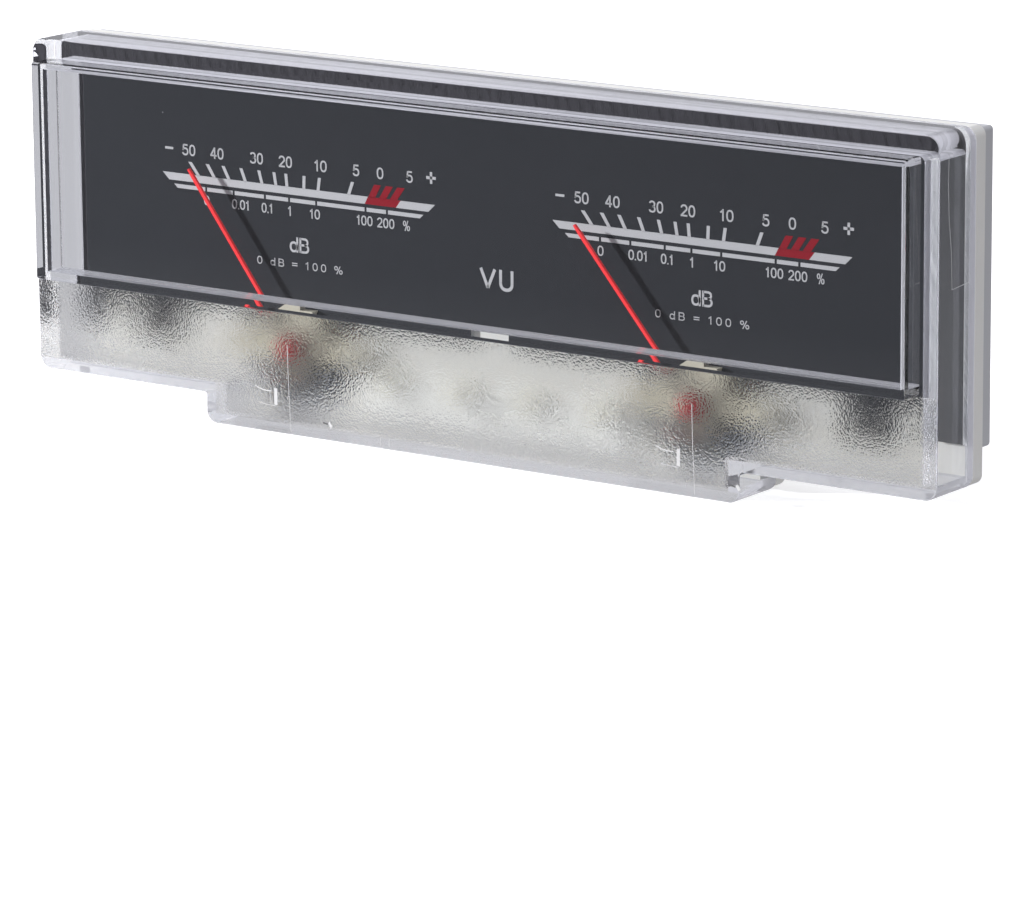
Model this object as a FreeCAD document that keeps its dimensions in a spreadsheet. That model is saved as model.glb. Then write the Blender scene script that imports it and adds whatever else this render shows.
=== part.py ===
import FreeCAD
import Part
import math
import os
import sys

import Sketcher
from FreeCAD import Placement, Rotation, Vector

# Twin analog VU meter: one clear cover over two moving-coil movements that share a dial.
#
# Frame: +X runs to the right of someone reading the dial, -Y points at the reader and +Z up.
# The origin is at the bottom centre of the meter's bounding box.
# Lengths are in millimetres and angles in degrees.

SIZES = (
    # cover
    ("face_width", 134.0, "cover, side to side"),
    ("face_height", 42.5, "cover, without the tab below it"),
    ("corner_radius", 1.7, "outer corners of the cover"),
    ("tab_margin", 0.6, "tab beyond the well at each end"),
    ("tab_drop", 3.8, "tab below the cover's lower edge"),
    ("tab_radius", 1.5, "lower corners of the tab"),
    ("tab_root", 0.4, "inner corners where the tab leaves the cover"),
    ("cover_depth", 8.0, "front face to the rim that meets the base"),
    ("side_wall", 2.55, "left and right walls of the cover"),
    ("top_wall", 2.65, "upper wall of the cover"),
    ("bottom_wall", 1.45, "lower wall of the cover"),
    ("face_wall", 1.6, "front wall of the cover"),
    ("face_round", 0.2, "rounding along the front edges"),
    ("cavity_radius", 0.9, "upper inner corners of the cover"),
    ("window_margin", 2.45, "window block inside the cover's sides"),
    ("window_head", 2.5, "window block below the cover's upper edge"),
    ("window_sill", 12.25, "window block above the cover's lower edge"),
    ("window_rise", 3.2, "window block in front of the front face"),
    ("window_radius", 0.3, "corners of the window block"),
    ("window_pane", 1.6, "front pane of the window block"),
    ("window_rail", 0.95, "upper and lower walls of the window block"),
    ("window_jamb", 1.15, "side walls of the window block"),
    # dial plate
    ("dial_seat", 1.3, "dial plate in the rebate of each side wall"),
    ("dial_bottom", 9.5, "lower edge above the cover's lower edge"),
    ("dial_head", 0.6, "dial plate below the cover's upper edge"),
    ("dial_thickness", 0.5, "dial plate"),
    ("dial_fit", 0.1, "gap around the dial plate in its rebate"),
    ("dial_radius", 1.0, "corners of the dial plate"),
    ("end_leg_width", 4.8, "leg at each end of the dial plate"),
    ("end_leg_bottom", 5.25, "foot of an end leg above the lower edge"),
    ("peg_leg_width", 7.0, "leg that the dial plate is staked by"),
    ("peg_leg_bottom", 4.2, "foot of a staked leg above the lower edge"),
    ("peg_leg_inset", 12.5, "middle of a staked leg from the dial's end"),
    ("peg_height", 6.3, "stake of a leg above the lower edge"),
    ("dial_notch_width", 5.6, "notch for the lamp's light, mid edge"),
    ("dial_notch_top", 11.5, "top of that notch above the lower edge"),
    # base housing
    ("flange_thickness", 2.3, "flange that closes the cover"),
    ("flange_inset", 0.15, "flange inside the cover's outline"),
    ("flange_radius", 1.2, "outer corners of the flange"),
    ("well_radius", 9.2, "outside of each movement well"),
    ("well_wall", 1.2, "wall and floor of each well"),
    ("well_length", 4.4, "well behind the rear plate"),
    ("peg_radius", 0.7, "moulded peg"),
    ("peg_fit", 0.05, "gap around a peg, pin or screw in its hole"),
    ("peg_stand", 0.4, "staked end of a peg"),
    ("bridge_peg_stand", 0.2, "staked end of a peg in a bridge's foot"),
    ("well_chamfer", 0.4, "bevel round a well's end"),
    ("lug_length", 3.8, "locating lug inside the tab's corner"),
    ("lug_width", 1.0, "locating lug"),
    ("lug_height", 1.6, "locating lug in front of the flange"),
    ("slot_width", 1.6, "moulding slot near each lower corner"),
    ("slot_height", 1.0, "moulding slot"),
    ("slot_inset", 3.6, "moulding slot from the cover's side"),
    ("slot_bottom", 0.3, "moulding slot above the lower edge"),
    ("gate_width", 18.0, "lead gate in the tab's lower edge"),
    ("gate_height", 1.2, "lead gate"),
    ("gate_depth", 1.5, "lead gate behind the flange's front"),
    # rear plate
    ("plate_thickness", 2.5, "rear plate"),
    ("plate_inset", 0.6, "rear plate inside the cover's sides"),
    ("plate_bottom", 4.2, "rear plate above the cover's lower edge"),
    ("plate_head", 0.5, "rear plate below the cover's upper edge"),
    ("plate_radius", 0.5, "corners of the rear plate"),
    ("plate_fit", 0.2, "gap between a well and the rear plate"),
    ("screw_radius", 0.75, "thread of a plate screw"),
    ("screw_head_radius", 1.7, "right-angled countersunk head of a plate screw"),
    ("screw_bite", 1.5, "plate screw in the flange"),
    ("screw_slot", 0.45, "driver slot of a jewel screw, wide"),
    ("screw_slot_depth", 0.5, "driver slot of a jewel screw, deep"),
    ("screw_margin", 6.0, "plate screw from the rear plate's edges"),
    # terminals and lamp board
    ("terminal_radius", 0.5, "free end of a movement's solder pin"),
    ("terminal_shank", 0.8, "thick shank of a solder pin, radius"),
    ("terminal_spacing", 8.0, "solder pins of a movement, centre to centre"),
    ("terminal_rise", 14.5, "solder pins above the pointer's axis"),
    ("terminal_length", 3.8, "solder pin behind the rear plate"),
    ("terminal_gap", 0.4, "gap around a solder pin in the rear plate"),
    ("lamp_pin_radius", 0.32, "free end of a lamp board pin"),
    ("lamp_pin_shank", 0.55, "thick shank of a lamp board pin, radius"),
    ("lamp_pin_pitch", 2.54, "lamp board pins, centre to centre"),
    ("lamp_pin_length", 5.0, "lamp board pin behind the flange"),
    ("lamp_pin_stub", 0.5, "lamp board pin in front of the board"),
    ("board_gap", 2.1, "lamp board to the wells' mouths"),
    ("board_height", 5.0, "lamp board"),
    ("board_stand", 2.7, "lamp board above the tab's lower edge"),
    ("board_thickness", 0.8, "lamp board"),
    ("board_peg_inset", 9.0, "lamp board peg from the board's end"),
    ("led_width", 2.8, "light emitting diode"),
    ("led_height", 1.8, "light emitting diode"),
    ("led_depth", 1.3, "light emitting diode"),
    ("led_inset", 4.1, "last diode's middle from the board's end"),
    ("led_margin", 0.05, "diode below the board's upper edge"),
    ("led_lens_radius", 0.75, "mouth of a diode's cup"),
    ("led_lens_floor", 0.55, "floor of a diode's cup"),
    ("led_lens_depth", 0.45, "diode's cup"),
    ("led_count", 4, "light emitting diodes"),
    # movements
    ("pivot_spread", 60.2, "between the two pointer axes"),
    ("well_stand", 0.5, "wells above the tab's lower edge"),
    ("left_rest_angle", 37.1, "left pointer at rest, left of upright"),
    ("right_rest_angle", 40.4, "right pointer at rest, left of upright"),
    ("stop_angle", 42.0, "pointer stops, either side of upright"),
    ("running_fit", 0.03, "gap around a turning shaft"),
    ("staff_radius", 0.35, "pointer staff"),
    ("staff_foot_radius", 0.9, "foot of a staff on the coil"),
    ("staff_foot", 0.1, "thickness of that foot"),
    ("collet_radius", 0.65, "collet that grips a hairspring"),
    ("hub_radius", 1.35, "red pointer hub"),
    ("hub_length", 1.35, "red pointer hub"),
    ("hub_bevel", 0.35, "bevel round the hub's face"),
    ("hub_cap", 0.5, "closed end of the hub"),
    ("arm_thickness", 0.4, "pointer arm"),
    ("arm_gap", 0.45, "pointer arm to the bridge behind it"),
    ("eye_radius", 1.15, "eye of the pointer"),
    ("needle_length", 26.4, "pointer axis to the tip"),
    ("needle_root", 0.72, "pointer width at its root"),
    ("needle_neck", 7.5, "where the root taper ends"),
    ("needle_width", 0.42, "pointer width along the needle"),
    ("needle_tip", 0.26, "pointer width at the tip"),
    ("needle_point", 1.3, "length that narrows to the tip"),
    ("tail_length", 4.6, "balance tail below the axis"),
    ("side_arm_length", 3.5, "balance arms beside the axis"),
    ("balance_arm_width", 0.45, "balance tail and arms"),
    ("weight_radius", 0.42, "balance weight"),
    ("weight_length", 0.9, "balance weight"),
    ("bridge_thickness", 1.1, "front bridge"),
    ("bridge_gap", 0.1, "front bridge to the dial plate"),
    ("bridge_reach", 10.9, "end of a bridge arm from the axis"),
    ("bridge_foot", 9.6, "foot of a bridge arm from the axis"),
    ("bridge_foot_radius", 1.3, "foot of a bridge arm"),
    ("bridge_arm_height", 3.0, "bridge arm"),
    ("bridge_half_width", 4.7, "middle of the bridge, either side"),
    ("bridge_shoulder", 3.4, "shoulders of the bridge above the axis"),
    ("bridge_skirt", 2.6, "middle of the bridge below the axis"),
    ("bridge_skirt_width", 4.7, "flat lower edge of the bridge"),
    ("bridge_slope", 2.0, "foot of the crown's slope, left of the axis"),
    ("bridge_slope_rise", 4.6, "foot of that slope above the axis"),
    ("bridge_crown", 5.65, "crown of the bridge above the axis"),
    ("bridge_crown_left", 0.4, "crown, left of the axis"),
    ("bridge_crown_right", 1.9, "crown, right of the axis"),
    ("bridge_step", 5.1, "step beside the crown above the axis"),
    ("bridge_step_right", 3.85, "end of the step, right of the axis"),
    ("bridge_nose", 3.6, "corner under the step, right of the axis"),
    ("bridge_nose_rise", 4.4, "that corner above the axis"),
    ("stop_radius", 0.35, "pointer stop pin"),
    ("stop_reach", 4.9, "pointer stop pin from the axis"),
    ("stop_clearance", 0.3, "pointer arm to a stop pin at its limit"),
    ("stop_overrun", 0.2, "stop pin in front of the pointer arm"),
    ("bearing_radius", 0.9, "front bearing bush"),
    ("bearing_flange_radius", 1.2, "front bearing flange"),
    ("bearing_flange", 0.15, "front bearing flange"),
    ("bearing_lip_radius", 1.05, "lip that holds the zero lever"),
    ("bearing_lip", 0.05, "lip that holds the zero lever"),
    ("lever_thickness", 0.25, "zero lever"),
    ("lever_gap", 0.05, "zero lever to its neighbours"),
    ("lever_ring_radius", 1.6, "ring of the zero lever"),
    ("lever_length", 4.8, "zero lever below the axis"),
    ("lever_width", 0.9, "zero lever at its fork"),
    ("lever_root_width", 1.4, "zero lever at its ring"),
    ("lever_root", 1.2, "root of the lever's arm from the axis"),
    ("lever_fork", 0.3, "fork of the zero lever, wide"),
    ("lever_fork_depth", 0.9, "fork of the zero lever, deep"),
    ("spring_width", 0.3, "hairspring strip, along the axis"),
    ("spring_strip", 0.06, "hairspring strip, thickness"),
    ("spring_inner", 0.68, "inner end of a hairspring"),
    ("spring_outer", 2.6, "outer end of a hairspring"),
    ("spring_turns", 2, "hairspring, full turns"),
    ("spring_pin_radius", 0.2, "pin that holds a hairspring's end"),
    ("coil_start", 0.4, "front of the coil behind the cover's rim"),
    ("spring_room", 0.6, "rear of the coil to the movement frame"),
    ("winding_thickness", 0.6, "coil winding across the core's ends"),
    ("winding_depth", 0.8, "coil winding along the core's sides"),
    ("winding_width", 1.6, "coil winding, wide"),
    ("former_wall", 0.2, "coil former"),
    ("former_width", 1.8, "coil former, wide"),
    ("core_radius", 4.0, "magnet core"),
    ("core_end_gap", 0.3, "coil former to the core's ends"),
    ("core_side_gap", 0.5, "coil former to the core's side"),
    ("yoke_gap", 0.6, "coil winding to the yoke ring"),
    ("yoke_fit", 0.2, "yoke ring to the well"),
    ("frame_disc", 0.7, "disc of the movement frame"),
    ("frame_rim", 0.9, "rim of the movement frame that holds the yoke"),
    ("post_angle", 34.0, "angle that each frame post fills"),
    ("seat_fit", 0.01, "gap between pieces that are glued or pressed"),
    ("core_bevel", 0.3, "bevel at the core's ends"),
    ("jewel_screw_radius", 1.0, "rear jewel screw"),
    ("jewel_cup_depth", 0.4, "cup of the rear jewel"),
    ("jewel_cup_radius", 0.6, "mouth of that cup"),
    ("jewel_clearance", 0.04, "pivot tip to the rear jewel's cup"),
)


class Size:
    """A length of the sheet: its number, and the formula that gives it in the document."""

    def __init__(self, number, formula):
        self.number = number
        self.formula = formula

    def _joined(self, sign, other, number):
        return Size(number, f"({self.formula} {sign} {formula_of(other)})")

    def __add__(self, other):
        return self._joined("+", other, self.number + number_of(other))

    def __sub__(self, other):
        return self._joined("-", other, self.number - number_of(other))

    def __mul__(self, other):
        return self._joined("*", other, self.number * number_of(other))

    def __truediv__(self, other):
        return self._joined("/", other, self.number / number_of(other))

    def __neg__(self):
        return Size(-self.number, f"(0 - {self.formula})")


def number_of(value):
    """The plain number of a Size or a number."""
    return value.number if isinstance(value, Size) else float(value)


def formula_of(value):
    """The formula of a Size or a number."""
    return value.formula if isinstance(value, Size) else repr(value)


class Sheet:
    """The spreadsheet of driving sizes, read as attributes such as size.face_width."""

    def __init__(self, doc):
        sheet = doc.addObject("Spreadsheet::Sheet", "Sizes")
        for row, (name, number, note) in enumerate(SIZES, start=1):
            sheet.set(f"A{row}", note)
            sheet.set(f"B{row}", str(number))
            sheet.setAlias(f"B{row}", name)
            setattr(self, name, Size(float(number), f"Sizes.{name}"))
        doc.recompute()


doc = FreeCAD.newDocument("TwinMeter")
size = Sheet(doc)

# Stations along Y, from the window pane at the front to the ends of the wells at the back.
behind_rim = size.flange_thickness + size.plate_thickness + size.well_length
front = -(size.window_rise + size.cover_depth + behind_rim) / 2
face = front + size.window_rise
rim = face + size.cover_depth
flange_back = rim + size.flange_thickness
plate_back = flange_back + size.plate_thickness
back = plate_back + size.well_length
floor = back - size.well_wall
dial_front = rim - size.dial_thickness
bridge_back = dial_front - size.bridge_gap
bridge_front = bridge_back - size.bridge_thickness
arm_back = bridge_front - size.arm_gap
arm_front = arm_back - size.arm_thickness
hub_front = arm_front - size.hub_length
lever_front = bridge_back + size.lever_gap
lever_back = lever_front + size.lever_thickness
neck_back = lever_back + size.lever_gap + size.bearing_lip
disc_front = floor - size.frame_disc
coil_front = rim + size.coil_start
coil_back = disc_front - size.spring_room
former_front = coil_front + size.winding_thickness
former_back = coil_back - size.winding_thickness
core_front = former_front + size.former_wall + size.core_end_gap
core_back = former_back - size.former_wall - size.core_end_gap
front_spring = (neck_back + coil_front - size.staff_foot) / 2
rear_spring = (coil_back + size.staff_foot + disc_front) / 2
board_front = rim - size.board_thickness

# Radii of the movement, from the core outwards.
former_inner = size.core_radius + size.core_side_gap
winding_inner = former_inner + size.former_wall
winding_outer = winding_inner + size.winding_depth
yoke_inner = winding_outer + size.yoke_gap
well_inner = size.well_radius - size.well_wall
yoke_outer = well_inner - size.yoke_fit
jewel_hole = size.jewel_screw_radius + size.seat_fit
spring_pin = size.spring_outer + size.spring_strip + size.spring_pin_radius

# Heights and half widths. The cover's rectangle stands on the line "ground".
ground = size.tab_drop
top = ground + size.face_height
half_face = size.face_width / 2
half_spread = size.pivot_spread / 2
half_tab = half_spread + size.well_radius + size.tab_margin
half_window = half_face - size.window_margin
sill = ground + size.window_sill
lintel = top - size.window_head
half_dial = half_face - size.side_wall + size.dial_seat
dial_low = ground + size.dial_bottom
dial_high = top - size.dial_head
peg_leg = half_dial - size.peg_leg_inset
plate_half = half_face - size.plate_inset
plate_low = ground + size.plate_bottom
plate_high = top - size.plate_head
pivot_z = size.well_radius + size.well_stand
terminal_z = pivot_z + size.terminal_rise
half_board = half_spread - well_inner - size.board_gap
board_low = size.board_stand
board_high = board_low + size.board_height
board_peg = half_board - size.board_peg_inset
lamp_pin_z = (board_low + board_high) / 2
zero = size.face_width * 0

LEFT = -half_spread
RIGHT = half_spread
SIDES = (("left", LEFT, -size.left_rest_angle.number), ("right", RIGHT, -size.right_rest_angle.number))

parts = []


# Sketch and feature helpers ---------------------------------------------------------------


def keep(feature, name):
    """Labels a finished sub-part and lists it for export."""
    feature.Label = name
    parts.append(feature)
    return feature


def bind(feature, **formulas):
    """Ties properties of a feature to sizes; at_x, at_y and at_z stand for its position."""
    places = {"at_x": "Placement.Base.x", "at_y": "Placement.Base.y", "at_z": "Placement.Base.z"}
    for name, value in formulas.items():
        feature.setExpression(places.get(name, name), formula_of(value))
    return feature


def new_body(name):
    """An empty body that is exported as a sub-part of this name."""
    body = doc.addObject("PartDesign::Body", name + "_body")
    return keep(body, name)


def origin_plane(body, role):
    """One of the three origin planes of a body."""
    return next(item for item in body.Origin.OriginFeatures if item.Role == role)


def new_sketch(body, role="XZ_Plane", station=None):
    """A sketch on an origin plane; on XZ it is moved to a station along Y."""
    sketch = body.newObject("Sketcher::SketchObject", "Outline")
    sketch.AttachmentSupport = [(origin_plane(body, role), "")]
    sketch.MapMode = "FlatFace"
    if station is not None:
        sketch.setExpression("AttachmentOffset.Base.z", formula_of(-station))
    return sketch


def fix_coordinate(sketch, kind, geometry, vertex, value):
    """Holds one coordinate of a sketch point at a size, or on the axis where it is nought."""
    if abs(number_of(value)) < 1e-9:
        axis = -2 if kind == "DistanceX" else -1
        sketch.addConstraint(Sketcher.Constraint("PointOnObject", geometry, vertex, axis))
        return
    index = sketch.addConstraint(Sketcher.Constraint(kind, -1, 1, geometry, vertex, number_of(value)))
    if isinstance(value, Size):
        sketch.setExpression(f"Constraints[{index}]", value.formula)


def draw_polygon(sketch, corners):
    """A closed outline of straight lines, each corner at its own pair of sizes."""
    first = sketch.GeometryCount
    count = len(corners)
    points = [Vector(number_of(across), number_of(along), 0) for across, along in corners]
    for index in range(count):
        sketch.addGeometry(Part.LineSegment(points[index], points[(index + 1) % count]))
    for index, (across, along) in enumerate(corners):
        following = first + (index + 1) % count
        sketch.addConstraint(Sketcher.Constraint("Coincident", first + index, 2, following, 1))
        fix_coordinate(sketch, "DistanceX", first + index, 1, across)
        fix_coordinate(sketch, "DistanceY", first + index, 1, along)


def draw_rectangle(sketch, left, bottom, right, top_edge):
    """A rectangle between two corners."""
    draw_polygon(sketch, ((left, bottom), (right, bottom), (right, top_edge), (left, top_edge)))


def draw_circle(sketch, across, along, radius):
    """A circle about a point."""
    centre = Vector(number_of(across), number_of(along), 0)
    index = sketch.addGeometry(Part.Circle(centre, Vector(0, 0, 1), number_of(radius)))
    fix_coordinate(sketch, "DistanceX", index, 3, across)
    fix_coordinate(sketch, "DistanceY", index, 3, along)
    ring = sketch.addConstraint(Sketcher.Constraint("Radius", index, number_of(radius)))
    if isinstance(radius, Size):
        sketch.setExpression(f"Constraints[{ring}]", radius.formula)


def pad(body, sketch, length, backwards=True):
    """Adds the sketch's outline to the body, towards the back unless told otherwise."""
    feature = body.newObject("PartDesign::Pad", "Pad")
    feature.Profile = sketch
    feature.Reversed = backwards
    bind(feature, Length=length)
    doc.recompute()
    return feature


def pocket(body, sketch, length, backwards=True):
    """Cuts the sketch's outline out of the body and makes sure that something was cut."""
    before = body.Shape.Volume
    feature = body.newObject("PartDesign::Pocket", "Pocket")
    feature.Profile = sketch
    feature.Reversed = not backwards
    bind(feature, Length=length)
    doc.recompute()
    if not body.Shape.Volume < before:
        sys.exit(f"{body.Label}: a pocket cuts nothing")
    return feature


def revolve(body, sketch, angle=360, midplane=False):
    """Turns the sketch's outline about the Y axis of the body."""
    feature = body.newObject("PartDesign::Revolution", "Revolution")
    feature.Profile = sketch
    axis = "V_Axis" if origin_plane(body, "XY_Plane") == sketch.AttachmentSupport[0][0] else "H_Axis"
    feature.ReferenceAxis = (sketch, [axis])
    feature.Midplane = midplane
    if isinstance(angle, Size):
        bind(feature, Angle=angle)
    else:
        feature.Angle = angle
    doc.recompute()
    return feature


def straight_edges(shape, places, across="x", along="z", tolerance=0.01):
    """Names of the edges square to a plane that pass through the given points of it."""
    points = [(number_of(place[0]), number_of(place[1])) for place in places]
    found = []
    for index, edge in enumerate(shape.Edges, start=1):
        ends = [(getattr(end.Point, across), getattr(end.Point, along)) for end in edge.Vertexes]
        if any(all(math.dist(end, point) < tolerance for end in ends) for point in points):
            found.append(f"Edge{index}")
    return found


def edges_at_station(shape, station, tolerance=0.01):
    """Names of the edges that lie in one plane across Y, at the outside of the solid."""
    found = []
    for index, edge in enumerate(shape.Edges, start=1):
        box = edge.BoundBox
        if max(abs(box.YMin - number_of(station)), abs(box.YMax - number_of(station))) < tolerance:
            found.append(f"Edge{index}")
    return found


def round_edges(body, base, names, radius, kind="PartDesign::Fillet"):
    """Rounds or chamfers named edges of the last feature."""
    feature = body.newObject(kind, "Round")
    feature.Base = (base, names)
    bind(feature, **({"Radius": radius} if kind.endswith("Fillet") else {"Size": radius}))
    doc.recompute()
    return feature


def cut_slot(body, station, reach):
    """Driver slot across the end of a screw."""
    slot = new_sketch(body, station=station)
    draw_rectangle(slot, -reach, -size.screw_slot / 2, reach, size.screw_slot / 2)
    pocket(body, slot, size.screw_slot_depth, backwards=False)


def mirrored_corners(half_width, heights):
    """Corner pairs of an outline that is the same left and right."""
    pairs = []
    for height in heights:
        pairs.append((-half_width, height))
        pairs.append((half_width, height))
    return pairs


def seat(body, across, angle=0.0):
    """Puts a body that was drawn about its own axis on a pointer axis, turned by an angle."""
    turn = Rotation(Vector(0, 1, 0), angle)
    body.Placement = Placement(Vector(across.number, 0, pivot_z.number), turn)
    bind(body, at_x=across, at_z=pivot_z)


def turned(name, profile):
    """A turned piece: pairs of radius and station that are revolved about the Y axis."""
    body = new_body(name)
    sketch = new_sketch(body, "XY_Plane")
    draw_polygon(sketch, profile)
    revolve(body, sketch)
    return body


def turned_row(name, centres, profile):
    """Equal turned pieces, each a numbered sub-part about its own centre."""
    for number, (across, along) in enumerate(centres, start=1):
        body = turned(f"{name}_{number}", profile)
        bind(body, at_x=across, at_z=along)


# Static pieces ----------------------------------------------------------------------------


def shield(inset, low_inset=None, top_inset=None):
    """Outline of the cover: a rectangle with a tab below, moved inwards by the insets."""
    low = inset if low_inset is None else low_inset
    high = inset if top_inset is None else top_inset
    side, tab = half_face - inset, half_tab - inset
    return (
        (-tab, low),
        (tab, low),
        (tab, ground + low),
        (side, ground + low),
        (side, top - high),
        (-side, top - high),
        (-side, ground + low),
        (-tab, ground + low),
    )


def make_front_cover():
    """Clear moulded cover: a shell with a tab below and a raised window block in front."""
    body = new_body("front_cover")
    outline = new_sketch(body, station=face)
    draw_polygon(outline, shield(zero))
    shell = pad(body, outline, size.cover_depth - size.seat_fit)
    corners = mirrored_corners(half_face, (ground, top))
    shell = round_edges(body, shell, straight_edges(shell.Shape, corners), size.corner_radius)
    tab_corners = mirrored_corners(half_tab, (zero,))
    shell = round_edges(body, shell, straight_edges(shell.Shape, tab_corners), size.tab_radius)
    roots = mirrored_corners(half_tab, (ground,))
    shell = round_edges(body, shell, straight_edges(shell.Shape, roots), size.tab_root)
    shell = round_edges(body, shell, edges_at_station(shell.Shape, face), size.face_round)

    block = new_sketch(body, station=front)
    draw_rectangle(block, -half_window, sill, half_window, lintel)
    shell = pad(body, block, size.window_rise)
    block_corners = mirrored_corners(half_window, (sill, lintel))
    shell = round_edges(body, shell, straight_edges(shell.Shape, block_corners), size.window_radius)
    shell = round_edges(body, shell, edges_at_station(shell.Shape, front), size.face_round)

    inside = new_sketch(body, station=rim)
    draw_polygon(inside, shield(size.side_wall, size.bottom_wall, size.top_wall))
    cut = pocket(body, inside, size.cover_depth - size.face_wall, backwards=False)
    upper_corners = mirrored_corners(half_face - size.side_wall, (top - size.top_wall,))
    round_edges(body, cut, straight_edges(cut.Shape, upper_corners), size.cavity_radius)

    opening = new_sketch(body, station=rim)
    draw_rectangle(
        opening,
        size.window_jamb - half_window,
        sill + size.window_rail,
        half_window - size.window_jamb,
        lintel - size.window_rail,
    )
    pocket(body, opening, size.cover_depth + size.window_rise - size.window_pane, backwards=False)

    rebate = new_sketch(body, station=rim)
    edge = half_dial + size.dial_fit
    upper = dial_high + size.dial_fit
    draw_rectangle(rebate, -edge, ground + size.end_leg_bottom - size.dial_fit, edge, upper)
    cut = pocket(body, rebate, size.dial_thickness, backwards=False)
    round_edges(body, cut, straight_edges(cut.Shape, mirrored_corners(edge, (upper,))), size.dial_radius)


def make_dial_plate():
    """Dial plate: one sheet behind both pointers, on legs that are staked to the base."""
    body = new_body("dial_plate")
    notch = size.dial_notch_width / 2
    leg_inner = peg_leg - size.peg_leg_width / 2
    leg_outer = peg_leg + size.peg_leg_width / 2
    half = (
        (notch, ground + size.dial_notch_top),
        (notch, dial_low),
        (leg_inner, dial_low),
        (leg_inner, ground + size.peg_leg_bottom),
        (leg_outer, ground + size.peg_leg_bottom),
        (leg_outer, dial_low),
        (half_dial - size.end_leg_width, dial_low),
        (half_dial - size.end_leg_width, ground + size.end_leg_bottom),
        (half_dial, ground + size.end_leg_bottom),
        (half_dial, dial_high),
    )
    outline = new_sketch(body, station=dial_front)
    draw_polygon(outline, half + tuple((-across, along) for across, along in reversed(half)))
    sheet = pad(body, outline, size.dial_thickness)
    corners = mirrored_corners(half_dial, (dial_high,))
    round_edges(body, sheet, straight_edges(sheet.Shape, corners), size.dial_radius)
    holes = new_sketch(body, station=dial_front)
    for offset in (-peg_leg, peg_leg):
        draw_circle(holes, offset, ground + size.peg_height, size.peg_radius + size.peg_fit)
    pocket(body, holes, size.dial_thickness)


def make_base_housing():
    """Moulded base: a flange that closes the cover, and a round well behind each movement."""
    body = new_body("base_housing")
    outline = new_sketch(body, station=rim)
    draw_polygon(outline, shield(size.flange_inset))
    flange = pad(body, outline, size.flange_thickness)
    inset = size.flange_inset
    corners = mirrored_corners(half_face - inset, (ground + inset, top - inset))
    flange = round_edges(body, flange, straight_edges(flange.Shape, corners), size.flange_radius)
    tab_corners = mirrored_corners(half_tab - size.flange_inset, (size.flange_inset,))
    round_edges(body, flange, straight_edges(flange.Shape, tab_corners), size.tab_radius)

    wells = new_sketch(body, station=flange_back)
    for across in (LEFT, RIGHT):
        draw_circle(wells, across, pivot_z, size.well_radius)
    well = pad(body, wells, size.plate_thickness + size.well_length)
    rims = edges_at_station(well.Shape, back)
    round_edges(body, well, rims, size.well_chamfer, "PartDesign::Chamfer")

    hollows = new_sketch(body, station=rim)
    for across in (LEFT, RIGHT):
        draw_circle(hollows, across, pivot_z, well_inner)
    pocket(body, hollows, floor - rim)

    pegs = new_sketch(body, station=dial_front - size.peg_stand)
    for offset in (-peg_leg, peg_leg):
        draw_circle(pegs, offset, ground + size.peg_height, size.peg_radius)
    pad(body, pegs, size.dial_thickness + size.peg_stand)
    board_pegs = new_sketch(body, station=board_front - size.peg_stand)
    for offset in (-board_peg, board_peg):
        draw_circle(board_pegs, offset, lamp_pin_z, size.peg_radius)
    pad(body, board_pegs, size.board_thickness + size.peg_stand)
    bridge_pegs = new_sketch(body, station=bridge_front - size.bridge_peg_stand)
    for across in (LEFT, RIGHT):
        for offset in (-size.bridge_foot, size.bridge_foot):
            draw_circle(bridge_pegs, across + offset, pivot_z, size.peg_radius)
    pad(body, bridge_pegs, rim - bridge_front + size.bridge_peg_stand)

    lugs = new_sketch(body, station=rim - size.lug_height)
    lug_end = half_tab - size.side_wall - size.dial_fit
    lug_low = size.bottom_wall + size.dial_fit
    draw_rectangle(lugs, -lug_end, lug_low, size.lug_length - lug_end, lug_low + size.lug_width)
    draw_rectangle(lugs, lug_end - size.lug_length, lug_low, lug_end, lug_low + size.lug_width)
    pad(body, lugs, size.lug_height)

    slots = new_sketch(body, station=rim)
    slot = half_face - size.slot_inset
    for offset in (-slot, slot):
        draw_rectangle(
            slots,
            offset - size.slot_width / 2,
            ground + size.slot_bottom,
            offset + size.slot_width / 2,
            ground + size.slot_bottom + size.slot_height,
        )
    pocket(body, slots, size.flange_thickness)
    gates = new_sketch(body, station=rim)
    for across in (LEFT, RIGHT):
        draw_rectangle(
            gates,
            across - size.gate_width / 2,
            -size.flange_inset,
            across + size.gate_width / 2,
            size.flange_inset + size.gate_height,
        )
    pocket(body, gates, size.gate_depth)

    pin_holes = new_sketch(body, station=rim)
    for across in (LEFT, RIGHT):
        for offset in (-size.terminal_spacing / 2, size.terminal_spacing / 2):
            draw_circle(pin_holes, across + offset, terminal_z, size.terminal_shank + size.seat_fit)
    for offset in (-size.lamp_pin_pitch / 2, size.lamp_pin_pitch / 2):
        draw_circle(pin_holes, offset, lamp_pin_z, size.lamp_pin_shank + size.seat_fit)
    pocket(body, pin_holes, size.flange_thickness)

    pilots = new_sketch(body, station=flange_back)
    for across, along in plate_screw_places():
        draw_circle(pilots, across, along, size.screw_radius + size.peg_fit)
    pocket(body, pilots, size.screw_bite + size.peg_fit, backwards=False)

    jewel_holes = new_sketch(body, station=floor)
    for across in (LEFT, RIGHT):
        draw_circle(jewel_holes, across, pivot_z, jewel_hole)
    pocket(body, jewel_holes, size.well_wall)


def plate_screw_places():
    """Centres of the screws near the corners of the rear plate."""
    across = plate_half - size.screw_margin
    return mirrored_corners(across, (plate_low + size.screw_margin, plate_high - size.screw_margin))


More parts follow.
